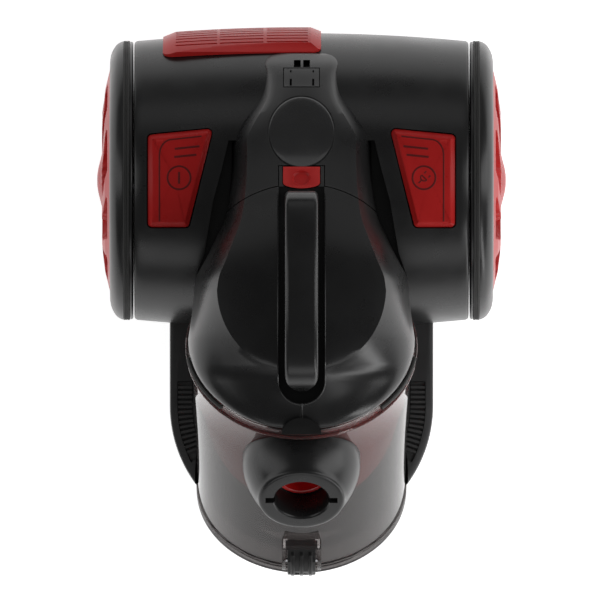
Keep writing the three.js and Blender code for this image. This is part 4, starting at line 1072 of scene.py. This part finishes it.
def smoked(name, tint, shade_tint, rough):
    """Smoke tinted clear plastic; plain tinted shade instead of a dark refracted shadow."""
    material, tree, shader, link = fresh_finish(name)
    shader.inputs["Transmission Weight"].default_value = 0.9
    shader.inputs["Metallic"].default_value = 0.0
    shader.inputs["IOR"].default_value = 1.32
    marks = marks_on(tree, 22)
    tone = two_tones(tree, [c * 0.95 for c in tint], tint, 0.3, 0.7)
    gloss = spread(tree, rough, rough * 2.2, 0.35, 0.8)
    link(marks.outputs["Patches"], tone.inputs["Fac"])
    link(tone.outputs["Color"], shader.inputs["Base Color"])
    link(marks.outputs["Patches"], gloss.inputs["Value"])
    link(gloss.outputs["Result"], shader.inputs["Roughness"])
    veil = tree.nodes.new("ShaderNodeBsdfTransparent")
    veil.inputs["Color"].default_value = (*shade_tint, 1)
    ray = tree.nodes.new("ShaderNodeLightPath")
    choice = tree.nodes.new("ShaderNodeMixShader")
    link(ray.outputs["Is Shadow Ray"], choice.inputs["Fac"])
    link(shader.outputs["BSDF"], choice.inputs[1])
    link(veil.outputs["BSDF"], choice.inputs[2])
    link(choice.outputs["Shader"], tree.nodes["Material Output"].inputs["Surface"])
    return material


smoke = smoked("smoked_clear_plastic", (0.25, 0.235, 0.232), (0.62, 0.59, 0.59), 0.02)
finished(cup_form, "dust_cup", "dust_bin", ["bin_cup"], smoke, 30)

# Base flap: the same clear plastic with a deeper tint, which is painted shade at the bin's base; hinged
# behind, with a rim that the latch hooks under.
flap_dish = [(0, -0.4), (71.4, -0.4), (71.4, -2), (74.4, -2), (74.4, -0.4), (75.2, -0.4), (75.4, -0.8),
             (75.4, -7), (75, -7.4), (72.8, -7.4), (72.4, -7), (72.4, -4.4), (50, -4.4), (48.5, -5.2),
             (47, -5.2), (45.5, -4.4), (0, -4.4)]
flap_form = blank(in_bin(turned(flap_dish, 128, "Z")))
work(flap_form, in_bin(rod("X", 3, -18.8, 18.8, (0, *HINGE), 32)), "UNION")
work(flap_form, in_bin(block(-18.8, 18.8, 74.8, HINGE[0], -5.4, -1)), "UNION")
work(flap_form, in_bin(rod("X", 1.8, -30, 30, (0, *HINGE), 24)))
# A deeper smoke tint than the cup: painted shade that darkens the bin's base.
smoke_painted_shade = smoked("smoked_plastic_with_painted_shade", (0.13, 0.12, 0.118), (0.3, 0.28, 0.28), 0.03)
finished(flap_form, "base_flap_dish", "base_flap", ["base_flap"], smoke_painted_shade, 30)

# ---------------------------------------------------------------------------
# Cyclone: the red inner shell seen through the cup, and the red duct that leads into
# it from the hose inlet. Both are a brighter red than the outer red parts. This is
# painted light, so that they glow through the smoked cup.
# ---------------------------------------------------------------------------

cyclone_skin = [(0, 44), (20, 44.2), (36, 44.9), (46, 46.4), (53, 49.4), (60, 56), (64, 65), (67, 76),
                (69.6, 90), (71.6, 104), (72, 112), (72, 162.6), (75.4, 162.6), (75.4, 164.8),
                (70, 164.8), (70, 108.4), (65, 76.6), (58.4, 56), (45, 48.6), (0, 46.4)]
cyclone_form = blank(in_bin(turned(cyclone_skin, 128, "Z")))
work(cyclone_form, on_inlet(rod("Z", 18.3, 50, 90, segments=72)))
# Bright red with painted light: brighter than the other red parts so the cyclone shows through the smoke.
glow_red_paint = moulded("red_plastic_with_painted_glow", (0.72, 0.012, 0.012), (0.80, 0.016, 0.016),
                    (0.85, 0.04, 0.04), 0.2, 0.006)
finished(cyclone_form, "cyclone_shell", "dust_bin", ["cyclone_body"], glow_red_paint)
duct = [(15.6, 52), (17.9, 52), (17.9, 84.2), (17.4, 84.2), (15.9, 83.4), (15.6, 82.6)]
finished(blank(on_inlet(turned(duct, 72, "Z"))), "inlet_duct_tube", "dust_bin", ["inlet_duct"],
         glow_red_paint)

# ---------------------------------------------------------------------------
# Inlet collar: a polished black cone on the cup's front with a rolled mouth for the
# hose plug and a keyway on each side of its bore.
# ---------------------------------------------------------------------------

collar_cone = [(0, 56), (41.8, 56), (41.8, 71), (41.6, 76), (40.6, 81.5), (38.6, 88), (35.6, 95.2),
               (32.6, 100.8), (31.3, 103), (30.9, 104.2), (30.4, 105.4), (29.2, 106.2), (27.6, 106.3),
               (0, 106.3)]
collar_form = blank(on_inlet(turned(collar_cone, 128, "Z")))
bore = [(0, 50), (18.3, 50), (18.3, 84.6), (19, 84.6), (19, 104.6), (19.8, 105.8), (21.2, 107), (21.2, 112),
        (0, 112)]
work(collar_form, on_inlet(turned(bore, 96, "Z")))
for side in (-1, 1):
    work(collar_form, on_inlet(block(side * 20.6 - 5, side * 20.6 + 5, -2.75, 2.75, 83.3, 113.3)))
cup_side = [(0, -10), (cup_radius(0) + 0.3, 0), (cup_radius(200) + 0.3, 200), (0, 200)]
work(collar_form, in_bin(turned(cup_side, 160, "Z")))
work(collar_form, in_bin(block(-100, 100, -140, 0, 156, 200)))
finished(collar_form, "inlet_collar_cone", "dust_bin", ["inlet_collar"], polished_black, 35)

# ---------------------------------------------------------------------------
# Latch, lid catch, caster fork and cord outlet: small satin black mouldings whose
# sharp edges are softened as the mould leaves them.
# ---------------------------------------------------------------------------


def softened(node, name, body, material, radius, sharp=35):
    """A copy of a CAD moulding, merged, cleaned and given rounded edges."""
    mesh = nodes[node].data.copy()
    bm = bmesh.new()
    bm.from_mesh(mesh)
    bmesh.ops.remove_doubles(bm, verts=bm.verts, dist=0.000002)
    bmesh.ops.dissolve_limit(bm, angle_limit=math.radians(3), verts=bm.verts, edges=bm.edges)
    bmesh.ops.scale(bm, verts=bm.verts, vec=(1000, 1000, 1000))
    piece = blank(bm)
    rounding = piece.modifiers.new("rounding", "BEVEL")
    rounding.width = radius * 0.001
    rounding.segments = 2
    rounding.limit_method = "ANGLE"
    rounding.angle_limit = math.radians(38)
    rounding.use_clamp_overlap = True
    return finished(piece, name, body, [node], material, sharp)


# A darker black than the other black parts: painted shade for the dark recess round the base latch.
black_darkened_as_shade = moulded("black_darkened_as_shade", (0.004, 0.004, 0.004), (0.006, 0.006, 0.006),
                      (0.012, 0.012, 0.012), 0.4, 0.02, ior=1.3)
softened("base_latch", "base_latch_lever", "base_latch", black_darkened_as_shade, 0.45)
clip = slab(arc((0, -94.7), (14, 11.4), 0, 180, 40), 257, 271.6)
finished(work(blank(clip), canopy(-0.3)), "lid_catch_clip", "dust_bin", ["lid_catch"],
         black_darkened_as_shade)
softened("caster_fork", "caster_fork_moulding", "caster", satin_black, 0.6)

outlet = [(5.5, 172), (12, 172), (12, 183.4), (11.4, 184.8), (10.2, 185.7), (8.4, 186), (6.8, 185.8),
          (5.8, 185), (5.5, 183.6)]
finished(blank(turned(outlet, 72, "Y", (70, 0, 60))), "cord_outlet_bush", "body", ["cord_outlet"],
         satin_black)

# ---------------------------------------------------------------------------
# Caster wheel: a solid rubber roller with rounded shoulders on a steel pin.
# ---------------------------------------------------------------------------

roller_low, roller_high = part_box("caster_wheel")
roller_centre = (0, 500 * (roller_low.y + roller_high.y), 500 * (roller_low.z + roller_high.z))
roller = [(2.5, -6), (8.4, -6), (8.9, -5.3), (10.6, -5.3), (11.2, -6), (12.2, -5.9), (13.2, -5.3),
          (13.8, -4.4), (14, -3.2), (14, 3.2), (13.8, 4.4), (13.2, 5.3), (12.2, 5.9), (11.2, 6),
          (10.6, 5.3), (8.9, 5.3), (8.4, 6), (2.5, 6)]
finished(blank(turned(roller, 72, "X", roller_centre)), "caster_roller_tyre", "caster_roller",
         ["caster_wheel"], rubber_band)

# ---------------------------------------------------------------------------
# Inner parts kept as they are in the frame, each with its own finish: turned steel,
# filter foam, pleated paper, the lacquered circuit board, rubber and satin plastic.
# ---------------------------------------------------------------------------


def steel_finish():
    """Turned steel: fine rings of brushing, patchy sheen and brighter edges."""
    material, tree, shader, link = fresh_finish("turned_steel")
    shader.inputs["Metallic"].default_value = 1.0
    marks = marks_on(tree, 60, 2600)
    tone = two_tones(tree, (0.36, 0.37, 0.39), (0.56, 0.56, 0.57))
    gloss = spread(tree, 0.24, 0.46)
    bump = tree.nodes.new("ShaderNodeBump")
    bump.inputs["Strength"].default_value = 0.3
    bump.inputs["Distance"].default_value = 0.00002
    link(marks.outputs["Patches"], tone.inputs["Fac"])
    link(tone.outputs["Color"], shader.inputs["Base Color"])
    link(marks.outputs["Patches"], gloss.inputs["Value"])
    link(gloss.outputs["Result"], shader.inputs["Roughness"])
    link(marks.outputs["Grain"], bump.inputs["Height"])
    link(bump.outputs["Normal"], shader.inputs["Normal"])
    return material


def porous(name, deep, pale, scale, depth, stretch=(1, 1, 1)):
    """Foam cells or paper fibres: a cellular pattern in colour and relief."""
    material, tree, shader, link = fresh_finish(name)
    shader.inputs["Roughness"].default_value = 0.95
    place = tree.nodes.new("ShaderNodeTexCoord")
    fit = tree.nodes.new("ShaderNodeMapping")
    fit.inputs["Scale"].default_value = stretch
    cells = tree.nodes.new("ShaderNodeTexVoronoi")
    cells.inputs["Scale"].default_value = scale
    tone = two_tones(tree, deep, pale)
    bump = tree.nodes.new("ShaderNodeBump")
    bump.inputs["Distance"].default_value = depth * 0.001
    link(place.outputs["Object"], fit.inputs["Vector"])
    link(fit.outputs["Vector"], cells.inputs["Vector"])
    link(cells.outputs["Distance"], tone.inputs["Fac"])
    link(tone.outputs["Color"], shader.inputs["Base Color"])
    link(cells.outputs["Distance"], bump.inputs["Height"])
    link(bump.outputs["Normal"], shader.inputs["Normal"])
    return material


turned_steel = steel_finish()
filter_foam = porous("filter_foam", (0.02, 0.02, 0.022), (0.06, 0.06, 0.066), 600, 0.6)
filter_paper = porous("filter_paper", (0.42, 0.40, 0.36), (0.62, 0.60, 0.55), 90, 1.5, (6, 1, 0.4))
board_lacquer = moulded("board_lacquer", (0.018, 0.10, 0.045), (0.03, 0.15, 0.07),
                        (0.10, 0.25, 0.12), 0.35, 0.02, 180, 2200)
keep = {
    "steel": (turned_steel, ["fan_cover", "impeller", "motor_shaft", "motor_can", "reel_axle",
                             "power_pedal_spring", "rewind_pedal_spring", "axle_left", "axle_right",
                             "housing_screw_1", "housing_screw_2", "housing_screw_3", "housing_screw_4",
                             "caster_axle", "release_spring", "flap_hinge_pin", "latch_pin"]),
    "filter_foam": (filter_foam, ["motor_filter", "lid_filter"]),
    "filter_paper": (filter_paper, ["exhaust_filter"]),
    "circuit_board": (board_lacquer, ["control_board"]),
    "soft_rubber": (rubber_band, ["motor_mount", "lid_seal", "flap_seal"]),
    "satin_black": (satin_black, ["motor_housing", "motor_inlet_grille", "power_switch", "cord_reel",
                                  "reel_brake", "vortex_shroud"]),
}
for material, names in keep.values():
    for node in names:
        nodes[node].data.materials.clear()
        nodes[node].data.materials.append(material)

# Each return spring of a pedal or of the button gets a mesh of its own.
for node, joint, travel in (("power_pedal_spring", "power_pedal_press", 0.0039),
                            ("rewind_pedal_spring", "rewind_pedal_press", 0.0039),
                            ("release_spring", "release_press", 0.0042)):
    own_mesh(nodes[node])

# ---------------------------------------------------------------------------
# Floor, soft lights and the camera, which looks straight down from far above.
# ---------------------------------------------------------------------------

sweep = bmesh.new()
bmesh.ops.create_grid(sweep, x_segments=1, y_segments=1, size=6)
floor_mesh = bpy.data.meshes.new("studio_floor")
sweep.to_mesh(floor_mesh)
sweep.free()
studio_floor = bpy.data.objects.new("studio_floor", floor_mesh)
bpy.context.scene.collection.objects.link(studio_floor)
pale_paper, _, paper_shader, _ = fresh_finish("pale_paper")
paper_shader.inputs["Base Color"].default_value = (0.9, 0.9, 0.9, 1)
paper_shader.inputs["Roughness"].default_value = 0.9
paper_shader.inputs["Emission Color"].default_value = (1, 1, 1, 1)
paper_shader.inputs["Emission Strength"].default_value = 0.8
floor_mesh.materials.append(pale_paper)

studio = bpy.data.worlds.new("studio")
studio.use_nodes = True
sky = studio.node_tree.nodes["Background"]
sky.inputs["Color"].default_value = (1, 1, 1, 1)
seen = studio.node_tree.nodes.new("ShaderNodeLightPath")
glow = spread(studio.node_tree, 0.13, 0.95)
studio.node_tree.links.new(seen.outputs["Is Camera Ray"], glow.inputs["Value"])
studio.node_tree.links.new(glow.outputs["Result"], sky.inputs["Strength"])
bpy.context.scene.world = studio

for name, place, size, power in (
    ("left_softbox", (-1.1, 0.15, 0.75), (0.5, 1.5), 3.5),
    ("right_softbox", (1.1, 0.15, 0.75), (0.5, 1.5), 6.5),
    ("front_softbox", (0.0, -1.2, 0.8), (1.4, 0.5), 3),
    ("rear_softbox", (0.0, 1.2, 0.9), (1.4, 0.5), 1.2),
    ("right_strip", (0.85, -0.85, 0.55), (0.22, 1.1), 5),
):
    light = bpy.data.lights.new(name, "AREA")
    light.shape = "RECTANGLE"
    light.size, light.size_y = size
    light.energy = power
    lamp = bpy.data.objects.new(name, light)
    lamp.location = place
    lamp.rotation_mode = "QUATERNION"
    lamp.rotation_quaternion = (Vector((0, 0, 0.12)) - Vector(place)).to_track_quat("-Z", "Y")
    bpy.context.scene.collection.objects.link(lamp)

bpy.context.scene.view_settings.view_transform = "Standard"
VIEW_WIDTH = 0.429
LENS = 1500
viewer = bpy.data.cameras.new("overhead")
viewer.lens = LENS
viewer.sensor_width = 36
viewer.clip_start = 1
viewer.clip_end = 60
overhead = bpy.data.objects.new("overhead", viewer)
overhead.location = (-0.00107, 0.00036, 0.13 + VIEW_WIDTH * LENS / 36)
bpy.context.scene.collection.objects.link(overhead)
bpy.context.scene.camera = overhead
